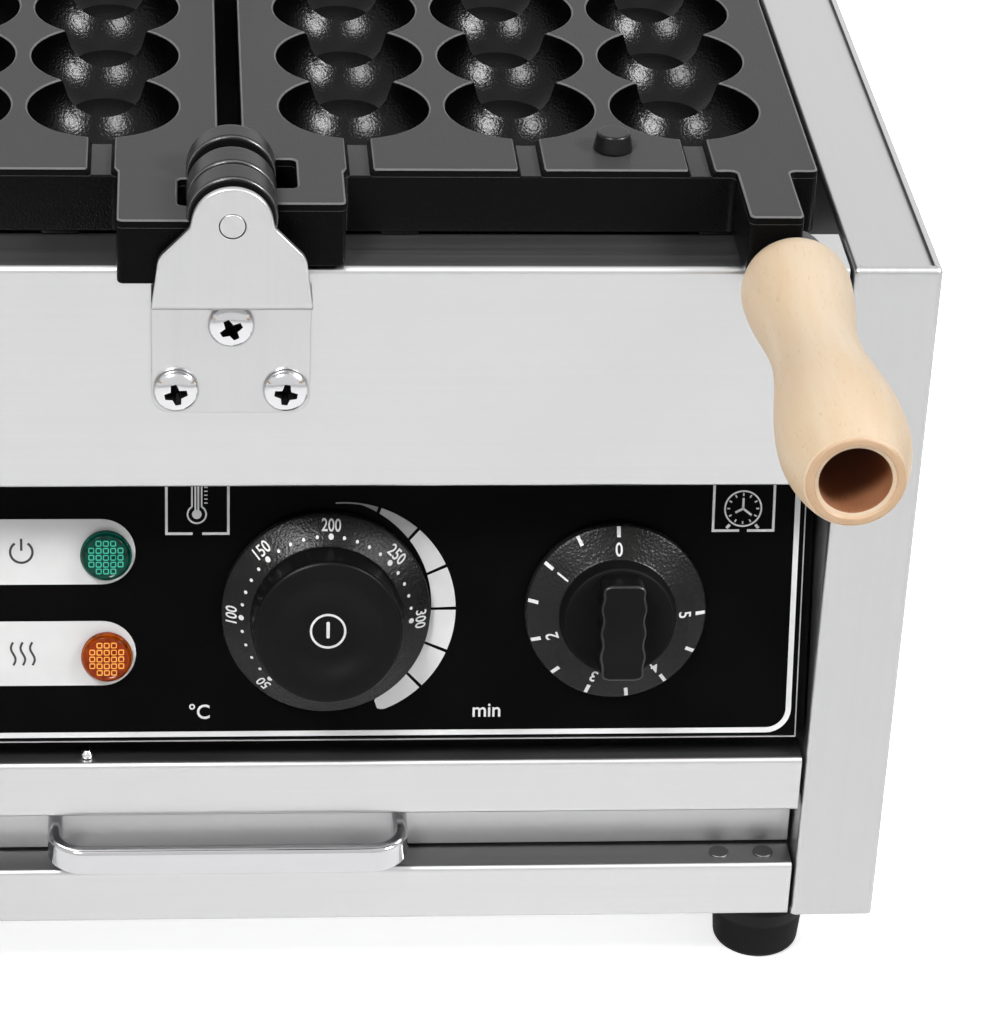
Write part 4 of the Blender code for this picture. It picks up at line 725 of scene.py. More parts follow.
def ball_cell(x, y, before, after, turns, rows):
    """Square of the parting face round one ball, as a height field on rays from its centre.

    A ray runs over the sphere by equal angles, over the rim, and on to the square's
    border. Towards a neighbour it stops at the crest midway, where the two depths
    are blended by max(a, b) + max(k - |a - b|, 0)^2 / 4k.
    """
    half_pitch = BALL_PITCH / 2
    rim = math.sqrt((BALL_RADIUS + RIM_ROUND) ** 2 - RIM_ROUND ** 2)
    touch = BALL_RADIUS * rim / (BALL_RADIUS + RIM_ROUND)
    reach = {1: half_pitch if after else CELL_HALF, -1: half_pitch if before else CELL_HALF}
    angles = [np.linspace(0, math.tau, turns, endpoint=False)]
    for sign, half in reach.items():
        marks = [math.atan2(half, CELL_HALF)]
        marks += [math.asin(half / r) for r in (touch, rim) if half < r]
        angles.append(np.array([sign * a for m in marks for a in (m, math.pi - m)]) % math.tau)
    angle = np.unique(np.round(np.concatenate(angles), 9))
    cosine, sine = np.cos(angle), np.sin(angle)
    ahead = sine >= 0
    half = np.where(ahead, reach[1], reach[-1])
    joined = np.where(ahead, after, before).astype(bool)
    along = half / np.maximum(np.abs(sine), 1e-9)
    border = np.minimum(CELL_HALF / np.maximum(np.abs(cosine), 1e-9), along)
    crest = np.where(joined, along, 1.0)
    widest = np.arcsin(np.minimum(touch, crest) / BALL_RADIUS)
    sphere = BALL_RADIUS * np.sin(np.linspace(0, 1, rows + 1)[:, None] * widest)
    turn = np.linspace(math.asin(RIM_ROUND / (BALL_RADIUS + RIM_ROUND)), math.pi / 2, 5)[1:, None]
    fillet = np.minimum(rim - RIM_ROUND * np.cos(turn), crest)
    held = np.minimum(np.minimum(rim + HOLD, crest), border)[None]
    radius = np.concatenate((sphere, fillet, held, border[None]))
    across, forward = radius * cosine, radius * sine
    other = np.hypot(across, np.abs(forward) - BALL_PITCH)
    own, near = ball_depth(radius), np.where(joined, ball_depth(other), 0.0)
    blend = np.clip(CREST_ROUND - np.abs(own - near), 0, None) ** 2 / (4 * CREST_ROUND)
    deep = np.clip(np.minimum(own, near) / 0.002, 0, 1)
    depth = np.maximum(own, near) + blend * deep
    return np.stack((x + across, y + forward, PAN_TOP - depth), -1)


def string_border(cells):
    """Points round a string's rectangle in order, from the last rows of its cells."""
    points = np.round(np.concatenate([cell[-1, :, :2] for cell in cells]), 8)
    low, high = points.min(0), points.max(0)
    right = np.unique(points[points[:, 0] > high[0] - 1e-7], axis=0)
    left = np.unique(points[points[:, 0] < low[0] + 1e-7], axis=0)
    back = np.unique(points[points[:, 1] > high[1] - 1e-7], axis=0)
    front = np.unique(points[points[:, 1] < low[1] + 1e-7], axis=0)
    right, left = right[np.argsort(right[:, 1])], left[np.argsort(-left[:, 1])]
    back, front = back[np.argsort(-back[:, 0])], front[np.argsort(front[:, 0])]
    return np.concatenate((front[:-1], right[:-1], back[:-1], left[:-1]))


def mould_plan(side):
    """Corners of a mould with its lugs, as (distance from the centre plane, depth)."""
    lug = LUGS[side]
    hinge = [(PAN_INNER, lug["slot_back"]), (lug["slot_side"], lug["slot_back"]),
             (lug["slot_side"], lug["knuckle_back"]), (LUG_INNER, lug["knuckle_back"]),
             (LUG_INNER, lug["front"]), (LUG_OUTER, lug["front"]), (LUG_OUTER, PAN_FRONT)]
    inner, outer, front = GRIP_LUG
    grip = [(inner, PAN_FRONT), (inner, front), (outer, front), (outer, PAN_FRONT)]
    rear = [(x, DEPTH - y) for x, y in reversed(hinge)]
    return hinge + grip + [(PAN_OUTER, PAN_FRONT), (PAN_OUTER, PAN_REAR)] + rear


def mould_shape(side, turns, rows):
    """Cast plate: ball cells, flat land, rounded rims carried round the plan, and a flat underside."""
    shape = Shape()
    borders = []
    carry = MACHINE @ Matrix.Diagonal((side, 1, 1, 1))
    for x in STRINGS:
        cells = []
        for i in range(BALL_COUNT):
            depth = FIRST_BALL + i * BALL_PITCH
            cells.append(ball_cell(x, depth, i > 0, i < BALL_COUNT - 1, turns, rows))
            shape.grid(moved(cells[-1], carry), wrap_columns=True)
        borders.append(raised(string_border(cells), PAN_TOP, carry))
    plan = rounded(mould_plan(side), PAN_CORNER, True, 6)
    rings = rim_rings(plan, PAN_TOP - PAN_THICK, PAN_TOP, PAN_EDGE, carry)
    loft(shape, rings, capped=False)
    shape.plate([rings[-1], *borders])
    shape.plate([rings[0]])
    return shape


def groove_cutter(side, width, depth):
    """Prism of a stick groove: a trapezoid whose lips flare out at the parting face."""
    half, lip = width / 2, 0.0004
    section = np.array([(-half - 2 * lip, 2 * lip), (-half - lip, 0.0), (-half, -lip), (-half * 0.72, -depth),
                        (half * 0.72, -depth), (half, -lip), (half + lip, 0.0), (half + 2 * lip, 2 * lip)])
    shape = Shape()
    for x in STRINGS:
        rings = []
        for y, grow, drop in ((PAN_FRONT - 0.002, 1.30, 0.0007), (PAN_FRONT, 1.12, 0.0003),
                              (PAN_FRONT + 0.0012, 1.0, 0.0), (FIRST_BALL - BALL_RADIUS / 2, 1.0, 0.0)):
            ring = np.stack((side * x + section[:, 0] * grow, np.full(len(section), y),
                             PAN_TOP + section[:, 1] - np.where(section[:, 1] < -lip, drop, 0)), 1)
            rings.append(ring + np.array(place(0, 0, 0)))
        loft(shape, rings)
    return shape


def ring_turned(shape, section, steps, matrix):
    """Turn a closed section that lies off the axis."""
    return shape.turned(np.concatenate((section, section[:1])), steps, matrix)


def ring_section(inner, outer, start, end, edge):
    """Closed (radius, height) section of a ring with its rims rounded."""
    corners = [(inner, start), (outer, start), (outer, end), (inner, end)]
    return rounded(corners, (edge * 0.4, edge, edge, edge * 0.4), True, 4)


def in_cavity(centre, normal):
    """Test for second_finish: walls of the ball cavities, below their rims."""
    drop = DECK + PAN_TOP - centre.z
    near = min(abs(abs(centre.x) - x) for x in STRINGS)
    if near > BALL_RADIUS or not 0.0005 < drop < BALL_RADIUS + 0.0001 or normal.z < 0.01:
        return False
    ahead = centre.y - FRONT - (FIRST_BALL - BALL_RADIUS)
    return 0 < ahead < 2 * BALL_RADIUS + (BALL_COUNT - 1) * BALL_PITCH


class BAKER_OT_moulds(bpy.types.Operator):
    """Cast the two moulds with their merged balls, grooves, hinge discs and underside blocks"""
    bl_idname = "baker.moulds"
    bl_label = "Moulds"

    def execute(self, context):
        sizes = context.scene.baker_sizes
        for side, word in ((-1, "left"), (1, "right")):
            body = f"{word}_pan"
            plate = piece(f"{word}_mould_casting", mould_shape(side, sizes.ball_turns, sizes.ball_rows),
                          "cast_coating", body, [f"{word}_mould"])
            cut(plate, groove_cutter(side, sizes.groove_width, sizes.groove_depth))
            if side < 0:
                flare = [(0, -0.0058), (0.0060, -0.0058), (0.0060, -0.0004), (0.0068, 0.0004), (0, 0.0004)]
                spot = seat(place(-PEG_X, PEG_DEPTH, PAN_TOP), (0, 0, 1), (0, 1, 0))
                cut(plate, Shape().turned(flare, 48, spot))
            second_finish(plate, "cast_cavity", in_cavity)
            discs = Shape()
            for start, end in DISC_SPANS[side] + [(DEPTH - e, DEPTH - s) for s, e in DISC_SPANS[side]]:
                section = ring_section(DISC_BORE, DISC_RADIUS, start, end, 0.0011)
                ring_turned(discs, section, 96, seat(place(0, 0, AXIS), (0, 1, 0)))
            made = piece(f"{word}_hinge_discs", discs, "cast_turned", body)
            # Painted shade: the flat ends of the discs are near black, as the gaps between them
            second_finish(made, "recess_black", lambda _, normal: abs(normal.y) > 0.93)
            # Painted highlight: the rounded rims of the discs are lighter grey
            second_finish(made, "cast_edge", lambda _, normal: 0.35 < abs(normal.y) < 0.80)
            inner, outer, front = side * (PAN_INNER + 0.0060), side * (PAN_OUTER - 0.0060), 0.0310
            corners = [(inner, front), (outer, front), (outer, DEPTH - front), (inner, DEPTH - front)]
            plan = rounded(corners, 0.003, True)
            piece(f"{word}_mould_underside", slab(plan, BLOCK_BOTTOM, UNDERSIDE_TOP, 0.0006, MACHINE),
                  "cast_coating", body)
            profile = rounded([(0, -0.0088), (0.0100, -0.0088), (0.0100, -0.0012), (0, -0.0012)], 0.0012)
            spot = seat(place(side * HANDLE_X, 0, HANDLE_RISE), (0, 1, 0))
            piece(f"{word}_handle_boss", Shape().turned(profile, 64, spot), "cast_turned", body)
            pads = Shape()
            for x in (side * 0.0390, side * 0.1225):
                for start, end in ((0.0191, 0.0212), (DEPTH - 0.0212, DEPTH - 0.0191)):
                    wide = x + side * 0.0100
                    plan = rounded([(x, start), (wide, start), (wide, end), (x, end)], 0.0004, True, 2, 0)
                    pad = slab(plan, GAP, UNDERSIDE_TOP, 0.0003, MACHINE, hold=0.0001)
                    pads.add(np.concatenate(pad.points), pad.faces)
            piece(f"{word}_rest_pads", pads, "cast_coating", body)
        profile = rounded([(0, -0.0030), (0.0030, -0.0030), (0.0030, 0.0002), (0.00525, 0.0002),
                           (0.00425, 0.0050), (0, 0.0050)], (0, 0.0002, 0.0002, 0.0003, 0.0007, 0))
        spot = seat(place(PEG_X, PEG_DEPTH, PAN_TOP), (0, 0, 1), (0, 1, 0))
        piece("mould_locating_peg", Shape().turned(profile, 64, spot), "cast_turned", "right_pan",
              ["locating_peg"])
        return {"FINISHED"}


# Handles

def handle_profile(waist, swell):
    """Half outline of the turned handle: radius against distance from its root.

    The nose is a quarter ellipse; root to waist and waist to swell follow a
    half cosine, and swell to end falls with the square of the distance.
    """
    t = np.concatenate((0.09 * (1 - np.cos(np.linspace(0, math.pi / 2, 12))), np.linspace(0.10, 1.0, 90)))
    root, end = 0.0140, 0.0118
    nose = root * (0.62 + 0.38 * np.sqrt(np.clip(1 - (1 - np.clip(t / 0.09, 0, 1)) ** 2, 0, 1)))
    fall = root + (waist - root) * (1 - np.cos(np.pi * np.clip((t - 0.09) / 0.31, 0, 1))) / 2
    rise = waist + (swell - waist) * (1 - np.cos(np.pi * np.clip((t - 0.40) / 0.42, 0, 1))) / 2
    close = swell + (end - swell) * np.clip((t - 0.82) / 0.18, 0, 1) ** 2
    radius = np.where(t <= 0.09, nose, np.where(t <= 0.40, fall, np.where(t <= 0.82, rise, close)))
    return np.stack((radius, t * HANDLE_LENGTH), 1)


class BAKER_OT_handles(bpy.types.Operator):
    """Turn the two wooden handles with the sunk bore in their ends"""
    bl_idname = "baker.handles"
    bl_label = "Handles"

    def execute(self, context):
        sizes = context.scene.baker_sizes
        end = HANDLE_LENGTH
        mouth = rounded([(0.0118, end - 0.002), (0.0118, end), (BORE_RADIUS + 0.0012, end),
                         (BORE_RADIUS + 0.0010, end - 0.0006), (BORE_RADIUS, end - 0.0010),
                         (BORE_RADIUS, end - BORE_DEPTH), (0.0043, end - BORE_DEPTH), (0.0043, 0.0)],
                        (0, 0.0008, 0.0003, 0.0002, 0.0002, 0.001, 0.0003, 0), steps=5)
        profile = np.concatenate((handle_profile(sizes.waist, sizes.swell)[:-1], mouth[1:]))
        for side, word in ((-1, "left"), (1, "right")):
            spot = seat(place(side * HANDLE_X, HANDLE_START, HANDLE_RISE), (0, -1, 0))
            made = piece(f"{word}_wooden_handle", ring_turned(Shape(), profile, 128, spot), "beech",
                         f"{word}_pan", [f"{word}_handle"])
            axis = Vector(place(side * HANDLE_X, 0, HANDLE_RISE))
            end_face = FRONT + HANDLE_START - HANDLE_LENGTH

            def bored(centre, _):
                away = math.hypot(centre.x - axis.x, centre.z - axis.z)
                return away < BORE_RADIUS + 0.0001 and centre.y > end_face + 0.0004

            def turned_end(centre, _):
                return not bored(centre, _) and centre.y < end_face + 0.0006
            second_finish(made, "beech_bore", bored)
            second_finish(made, "beech_end", turned_end)
        return {"FINISHED"}


# Sheet metal

def wing_shape(side):
    """Side panel as a closed skin: rectangles carried up the outside, over the top and down inside."""
    low, high = sorted((side * INNER_HALF, side * HALF_WIDTH))
    plan = rounded([(low, 0), (high, 0), (high, DEPTH), (low, DEPTH)], FOLD, True, 6)
    stations = [(SHEET, -SHEET), (SHEET, -BODY_DROP), (0, -BODY_DROP), (0, -FOLD - HOLD)]
    for t in np.linspace(0, math.pi / 2, 7):
        stations.append((FOLD * (1 - math.cos(t)), -FOLD * (1 - math.sin(t))))
    stations.append((FOLD + HOLD, 0.0))
    return loft(Shape(), [raised(offset(plan, inset, True), rise, MACHINE) for inset, rise in stations])


def vent_cutter():
    """Round ended slots through the rear panel."""
    shape = Shape()
    turn = np.linspace(0, math.pi, 9)
    radius, reach = 0.0018, 0.0162
    across, along = radius * np.cos(turn), reach + radius * np.sin(turn)
    half = np.stack((across, along), 1)
    slot = np.concatenate((half, -half)) + np.array((0, VENT_RISE))
    for side in (-1, 1):
        for i in range(6):
            x = side * 0.0850 + (i - 2.5) * 0.0120
            loft(shape, [np.stack((x + slot[:, 0], np.full(len(slot), REAR + y), DECK + slot[:, 1]), 1)
                         for y in (-0.004, 0.003)])
    return shape


class BAKER_OT_sheets(bpy.types.Operator):
    """Fold the wings, fascia, rear panel, base, control panel and tray front from sheet"""
    bl_idname = "baker.sheets"
    bl_label = "Sheet metal"

    def execute(self, context):
        for side, word in ((-1, "left"), (1, "right")):
            piece(f"wing_{word}", wing_shape(side), "steel_upright", "body",
                  [f"side_panel_{word}"])
        fascia = [(STRIP, -0.0400), (STRIP, 0), (0, 0), (0, -0.0651), (0.0120, -0.0651)]
        piece("fascia_sheet", folded(fascia), "steel_level", "body", ["front_fascia"])
        foot = -BODY_DROP + SHEET + GAP
        back = [(DEPTH - 0.0110, foot), (DEPTH, foot), (DEPTH, 0), (DEPTH - STRIP, 0),
                (DEPTH - STRIP, -0.0400)]
        rear = piece("rear_sheet", folded(back), "steel_level", "body", ["rear_panel"])
        cut(rear, vent_cutter())
        floor = [(0.0180, RAIL), (0, RAIL), (0, -BODY_DROP), (DEPTH - SHEET - GAP, -BODY_DROP)]
        base = piece("base_sheet", folded(floor), "steel_level", "body", ["base_plate"])
        second_finish(base, "steel_shaded", lambda centre, normal: (
            normal.z > 0.9 and centre.z > DECK + RAIL - 0.0002))
        rivets = Shape()
        head = rounded([(0, -0.0006), (0.00285, -0.0006), (0.00285, 0.0005), (0, 0.0006)], 0.0003)
        for side in (-1, 1):
            for inset in (0.0321, 0.0447):
                spot = place(side * (HALF_WIDTH - inset), 0.0060, RAIL)
                rivets.turned(head, 48, seat(spot, (0, 0, 1), (0, 1, 0)))
        piece("rail_rivets", rivets, "dark_rivet", "body")
        slope = [PANEL_TOP, PANEL_LOW, (PANEL_LOW[0] + 0.0110, PANEL_LOW[1])]
        piece("panel_sheet", folded(slope), "panel_gloss", "body", ["control_panel"])
        bar = [(0.0150, TRAY_TOP), (0, TRAY_TOP), (0, TRAY_BAR_LOW), (TRAY_RECESS, TRAY_BAR_LOW),
               (TRAY_RECESS, RAIL + 0.0008)]
        tray = piece("tray_bar_sheet", folded(bar), "steel_level", "crumb_drawer",
                     ["tray_front"])
        # Painted shade: the recessed face behind the bar is darker steel
        second_finish(tray, "steel_recess", lambda centre, normal: (
            normal.y < -0.9 and centre.y > FRONT + TRAY_RECESS / 2))
        return {"FINISHED"}


# Hinge brackets and fasteners

def bracket_plan(path_length, ear_drop):
    """Outline of the flat blank: ear, shoulders, and a plate with round lower corners."""
    turn = np.radians(np.linspace(90, 8, 22))
    arc = np.stack((EAR_RADIUS * np.cos(turn), EAR_RISE - EAR_RADIUS * np.sin(turn)), 1)
    side = rounded([arc[-1], EAR_NECK, EAR_SHOULDER, (BRACKET_HALF, ear_drop), (BRACKET_HALF, path_length),
                    (0, path_length)], (0, 0.0060, 0.0058, 0.004, 0.0050, 0), steps=12)
    right = np.concatenate((arc, side[1:]))
    left = right[1:-1][::-1] * np.array((-1, 1))
    return np.concatenate((right, left))


def bracket_mesh(mirrored):
    """Flat blank with rounded rims, cut across at its bends and carried along the bent section."""
    top = AXIS + EAR_RISE
    face = -GAP - BRACKET_SHEET
    path = rounded([(BRACKET_FRONT, top), (BRACKET_FRONT, BRACKET_SHELF), (face, BRACKET_SHELF),
                    (face, BRACKET_LOW)], (0, 0.0028, 0.0009, 0), steps=7)
    knots = np.concatenate(([0], np.cumsum(np.linalg.norm(np.diff(path, axis=0), axis=1))))
    normals = offset(path, 1.0) - path
    blank = bracket_plan(knots[-1], top - BRACKET_SHELF)
    mesh = slab(blank, 0.0, BRACKET_SHEET, 0.00035, steps=3, hold=0.0003).mesh("hinge_bracket")
    bm = bmesh.new()
    bm.from_mesh(mesh)
    for knot in knots[1:-1]:
        bmesh.ops.bisect_plane(bm, geom=bm.verts[:] + bm.edges[:] + bm.faces[:], dist=1e-7,
                               plane_co=(0, knot, 0), plane_no=(0, 1, 0))
    flat = np.array([v.co for v in bm.verts])
    spot = np.stack([np.interp(flat[:, 1], knots, path[:, k]) for k in (0, 1)], 1)
    normal = np.stack([np.interp(flat[:, 1], knots, normals[:, k]) for k in (0, 1)], 1)
    bent = spot + normal * flat[:, 2:]
    depth = DEPTH - bent[:, 0] if mirrored else bent[:, 0]
    placed = np.stack((flat[:, 0], FRONT + depth, DECK + bent[:, 1]), 1)
    for vertex, point in zip(bm.verts, placed):
        vertex.co = point
    bmesh.ops.recalc_face_normals(bm, faces=bm.faces)
    bm.to_mesh(mesh)
    bm.free()
    return smoothed(mesh)


def screw_master():
    """Truss head with a cross recess: a dome cut by two crossed tapering slots.

    At a turn t the dome has radius r (cos t)^0.85 and height h (0.16 + 0.84 sin t).
    """
    radius, height = SCREW_RADIUS, SCREW_HEIGHT
    t = np.linspace(0, math.pi / 2, 14)
    dome = np.stack((radius * np.cos(t) ** 0.85, height * (0.16 + 0.84 * np.sin(t))), 1)
    profile = np.concatenate(([(0, -0.004), (0.0024, -0.004), (0.0024, 0.0), (radius * 0.97, 0.0)], dome))
    profile[-1, 0] = 0.0
    holder = linked("screw_head", Shape().turned(profile, 64).mesh("screw_head"))
    holder.data.materials.append(finish("chrome_plate"))
    arm, reach = radius * 0.13, radius * 0.52
    quarter = np.array([(reach, -arm), (reach, arm), (arm * 1.5, arm * 1.5)])
    plus = [quarter]
    for _ in range(3):
        plus.append(np.stack((-plus[-1][:, 1], plus[-1][:, 0]), 1))
    plus = np.concatenate(plus)
    levels = ((0.25, 0.1), (0.75, 0.5), (1.15, 1.3))
    cut(holder, loft(Shape(), [raised(plus * wide, height * high) for wide, high in levels]))

    def sunk(centre, _):
        away = math.hypot(centre.x, centre.y)
        turn = math.acos(min(away / radius, 1) ** (1 / 0.85))
        return away < reach * 1.2 and 0 < centre.z < height * (0.16 + 0.84 * math.sin(turn)) - 0.00012
    # Painted shade: the cross recess is near black
    second_finish(holder, "recess_black", sunk)
    made = holder.data
    bpy.data.objects.remove(holder)
    return made


def placed_copy(master, matrix, spin):
    """Copy of a mesh turned about its own axis and carried to its place."""
    made = master.copy()
    made.transform(matrix @ Matrix.Rotation(math.radians(spin), 4, "Z"))
    return made


class BAKER_OT_hinges(bpy.types.Operator):
    """Bend the hinge brackets and set their pins and screws"""
    bl_idname = "baker.hinges"
    bl_label = "Hinge brackets"

    def execute(self, context):
        master = screw_master()
        bore = PIN_RADIUS + 0.00022
        through = [(0, -0.004), (bore, -0.004), (bore, 0.002), (0, 0.002)]
        rod = rounded([(0, -0.0366), (PIN_RADIUS, -0.0366), (PIN_RADIUS, 0.0), (0, 0.0)], 0.0003)
        face = -2 * GAP - BRACKET_SHEET
        for mirrored, word in ((False, "front"), (True, "rear")):
            out = Vector((0, 1, 0)) if mirrored else Vector((0, -1, 0))
            bracket = piece(f"{word}_bracket_plate", bracket_mesh(mirrored), "steel_bracket", "body",
                            [f"{word}_hinge_bracket"])
            ear = seat(place(0, DEPTH - BRACKET_FRONT if mirrored else BRACKET_FRONT, AXIS), out)
            cut(bracket, Shape().turned(through, 64, ear))
            piece(f"{word}_pin", Shape().turned(rod, 64, ear), "steel_bracket", "body",
                  [f"{word}_hinge_pin"])
            for (x, rise), name, spin in zip(BRACKET_SCREWS, ("low_left", "low_right", "high"), SCREW_SPINS):
                spot = place(x, DEPTH - face if mirrored else face, rise)
                piece(f"{word}_cross_screw_{name}", placed_copy(master, seat(spot, out), spin),
                      "chrome_plate", "body", [f"{word}_bracket_screw_{name}"])
        return {"FINISHED"}


# Tray handle, feet and rivet

def bow_shape():
    """Flat bar bent to a bow: its section carried along the path, square to it."""
    rise, foot, start, reach = -0.1799, 0.0482, 0.0105, -0.0074
    path = rounded([(-foot, start), (-foot, reach), (foot, reach), (foot, start)], (0, 0.0155, 0.0155, 0),
                   steps=22)
    wide, thick = 0.0080 / 2, 0.0042 / 2
    section = rounded([(-thick, -wide), (thick, -wide), (thick, wide), (-thick, wide)], 0.0013, True, 5,
                      0.0002)
    outward = offset(path, 1.0) - path
    return loft(Shape(), [np.stack((p[0] + n[0] * section[:, 0], FRONT + p[1] + n[1] * section[:, 0],
                                    DECK + rise + section[:, 1]), 1) for p, n in zip(path, outward)])


class BAKER_OT_trims(bpy.types.Operator):
    """Bend the tray handle and turn the stop rivet and the rubber feet"""
    bl_idname = "baker.trims"
    bl_label = "Handle, feet and rivet"

    def execute(self, context):
        piece("tray_bow", bow_shape(), "chrome_bright", "crumb_drawer", ["tray_handle"])
        head = rounded([(0, 0), (0.0018, 0), (0.0018, 0.0011), (0.0009, 0.0022), (0, 0.0022)],
                       (0, 0.0001, 0.0006, 0.0006, 0))
        spot = seat(place(-0.0390, 0.0042, -0.1527), (0, 0, 1), (0, 1, 0))
        piece("stop_rivet", Shape().turned(head, 48, spot), "chrome_plate", "crumb_drawer",
              ["tray_stop_rivet"])
        for word in ("front_left", "front_right", "rear_left", "rear_right"):
            low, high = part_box(f"foot_{word}")
            centre = Vector(((low.x + high.x) / 2, (low.y + high.y) / 2, low.z))
            tall = high.z - low.z
            profile = rounded([(0.0056, 0.0080), (0.0056, 0.0), (0.0122, 0.0), (0.0131, tall * 0.55),
                               (0.0150, tall * 0.80), (0.0150, tall), (0.0030, tall), (0.0030, 0.0080)],
                              (0, 0.0006, 0.0022, 0.004, 0.002, 0.0006, 0.0003, 0), steps=5)
            piece(f"rubber_foot_{word}", ring_turned(Shape(), profile, 80, Matrix.Translation(centre)),
                  "rubber_black", "body", [f"foot_{word}"])
        return {"FINISHED"}


# Controls and their print

def skirt_height(profile, radius):
    """Height of a knob's face over a radius, read off its turned profile."""
    order = np.argsort(profile[:, 0])
    return np.interp(radius, profile[order, 0], profile[order, 1])


def prism(shape, outline, matrix, lift=0.0, high=PRINT_PROUD):
    """Thin solid over a flat outline, lifted by a height or by one for each of its points."""
    outline = np.asarray(outline, float)
    lift = np.zeros(len(outline)) + lift
    rings = [np.stack((outline[:, 0], outline[:, 1], lift + z), 1) for z in (-PRINT_SUNK, high)]
    loft(shape, [moved(ring, matrix) for ring in rings])


def band(shape, path, width, matrix, closed=False):
    """Printed line along a path, as a closed loop of small solids."""
    left, right = (offset(path, side * width / 2, closed) for side in (1, -1))
    section = ((left, -PRINT_SUNK), (right, -PRINT_SUNK), (right, PRINT_PROUD), (left, PRINT_PROUD))
    grid = np.stack([raised(side, z, matrix) for side, z in section], 1)
    shape.grid(grid, wrap_rows=closed, wrap_columns=True)
    if not closed:
        shape.cap(grid[0])
        shape.cap(grid[-1])


def circle(radius, steps, start=0.0, sweep=math.tau):
    """Points of a circle or arc, by angle."""
    full = abs(sweep - math.tau) < 1e-9
    a = start + np.linspace(0, sweep, steps + (0 if full else 1), endpoint=not full)
    return np.stack((radius * np.cos(a), radius * np.sin(a)), 1)


def printed(name, shape, coat, body="body"):
    """Piece of print with crisp edges; the panel's edge line is made with it as a painted highlight."""
    piece(name, shape, coat, body, sharp=20)


def lettering(text, size, squeeze):
    """Points and faces of text in the built-in font, as thin solids on z = 0."""
    curve = bpy.data.curves.new("figures", "FONT")
    curve.body = text
    curve.size = size
    curve.align_x, curve.align_y = "CENTER", "CENTER"
    curve.extrude = (PRINT_PROUD + PRINT_SUNK) / 2
    curve.offset = size * 0.012
    curve.resolution_u = 4
    holder = linked("figures", curve)
    mesh = evaluated(holder)
    points = np.array([v.co for v in mesh.vertices]).reshape(-1, 3)
    points[:, 0] *= squeeze
    points[:, 2] += (PRINT_PROUD - PRINT_SUNK) / 2
    faces = [list(p.vertices) for p in mesh.polygons]
    bpy.data.objects.remove(holder)
    bpy.data.curves.remove(curve)
    bpy.data.meshes.remove(mesh)
    return points, faces


def on_dial(points, angle, radius):
    """Points moved out to a radius of a dial and turned clockwise by an angle."""
    turn = math.radians(angle)
    x, y = points[:, 0], points[:, 1] + radius
    return np.stack((x * math.cos(turn) + y * math.sin(turn), -x * math.sin(turn) + y * math.cos(turn),
                     points[:, 2]), 1)


def dial_figure(shape, value, size, angle, radius, profile, carry):
    """One number on a dial, read from the centre outwards."""
    points, faces = lettering(str(value), size, 0.86)
    points = on_dial(points, angle, radius)
    points[:, 2] += skirt_height(profile, np.hypot(points[:, 0], points[:, 1]))
    shape.add(moved(points, carry), faces)


def dial_mark(shape, outline, angle, profile, carry):
    """One dot or tick on a dial."""
    spot = on_dial(raised(outline, 0.0), angle, MARK_RADIUS)[:, :2]
    prism(shape, spot, carry, skirt_height(profile, np.hypot(spot[:, 0], spot[:, 1])))


def knob(name, carry, profile, replaced):
    """Piece of a knob: its turned profile, closed at the bottom by the seat of the shaft."""
    hollow = [(0, SHAFT_END), (SHAFT_RADIUS, SHAFT_END), (SHAFT_RADIUS, KNOB_LOW)]
    shape = Shape().turned(np.concatenate((hollow, profile)), 128, carry)
    return piece(f"{name}_knob_body", shape, "knob_skirt", f"{name}_dial", replaced)


class BAKER_OT_temperature(bpy.types.Operator):
    """Turn the temperature knob and print its scale of dots and numbers"""
    bl_idname = "baker.temperature"
    bl_label = "Temperature knob"

    def execute(self, context):
        carry = panel_seat(TEMPERATURE_X, KNOB_DROP)
        outer = rounded([(0.0285, KNOB_LOW), (0.0285, 0.0028), (0.0206, 0.0088), (0.0200, 0.0200),
                         (0.0150, 0.0205)], (0, 0.0010, 0.0009, 0.0012, 0), steps=6)
        radius = np.linspace(0.0150, 0.0, 24)
        dish = 0.0205 - 0.0024 * (1 - np.cos(np.pi * np.clip((0.0160 - radius) / 0.0095, 0, 1))) / 2
        profile = np.concatenate(([(0.0250, KNOB_LOW)], outer, np.stack((radius, dish), 1)[1:]))
        made = knob("temperature", carry, profile, ["temperature_knob"])
        second_finish(made, "knob_black", within(carry, 0.02065))
        scale = Shape()
        angles = dict(HEAT_MARKS)
        for heat in range(50, 301, 10):
            angle = np.interp(heat, list(angles), list(angles.values()))
            size = 0.00072 if heat in angles else 0.00044
            dial_mark(scale, circle(size, 20), angle, outer, carry)
        for heat, angle in HEAT_MARKS:
            dial_figure(scale, heat, 0.0042, angle, 0.0256, outer, carry)
        printed("temperature_scale", scale, "print_white", "temperature_dial")
        mark = Shape()
        face = carry @ Matrix.Translation((0, 0, dish[-1] + 0.00002))
        band(mark, circle(0.0046, 64), 0.0006, face, True)
        wide, low, high = 0.00045, -0.0020, 0.0026
        bar = rounded([(-wide, low), (wide, low), (wide, high), (-wide, high)], 0.0003, True, 4, 0)
        prism(mark, bar, face)
        printed("temperature_mark", mark, "print_white", "temperature_dial")
        return {"FINISHED"}


def grip_plan():
    """Outline of the timer's grip: a bar with four waves along it that narrows at both ends."""
    t = np.linspace(0, 1, 90)
    inward = np.minimum(np.minimum(t, 1 - t), 0.10) / 0.10
    taper = 0.55 + 0.45 * np.sqrt(1 - (1 - inward) ** 2)
    wave = 1 + 0.045 * np.cos(math.tau * 4 * t)
    side = np.stack((0.0060 * wave * taper, 0.0270 * (t - 0.5)), 1)
    return np.concatenate((side, side[::-1] * np.array((-1, 1))))


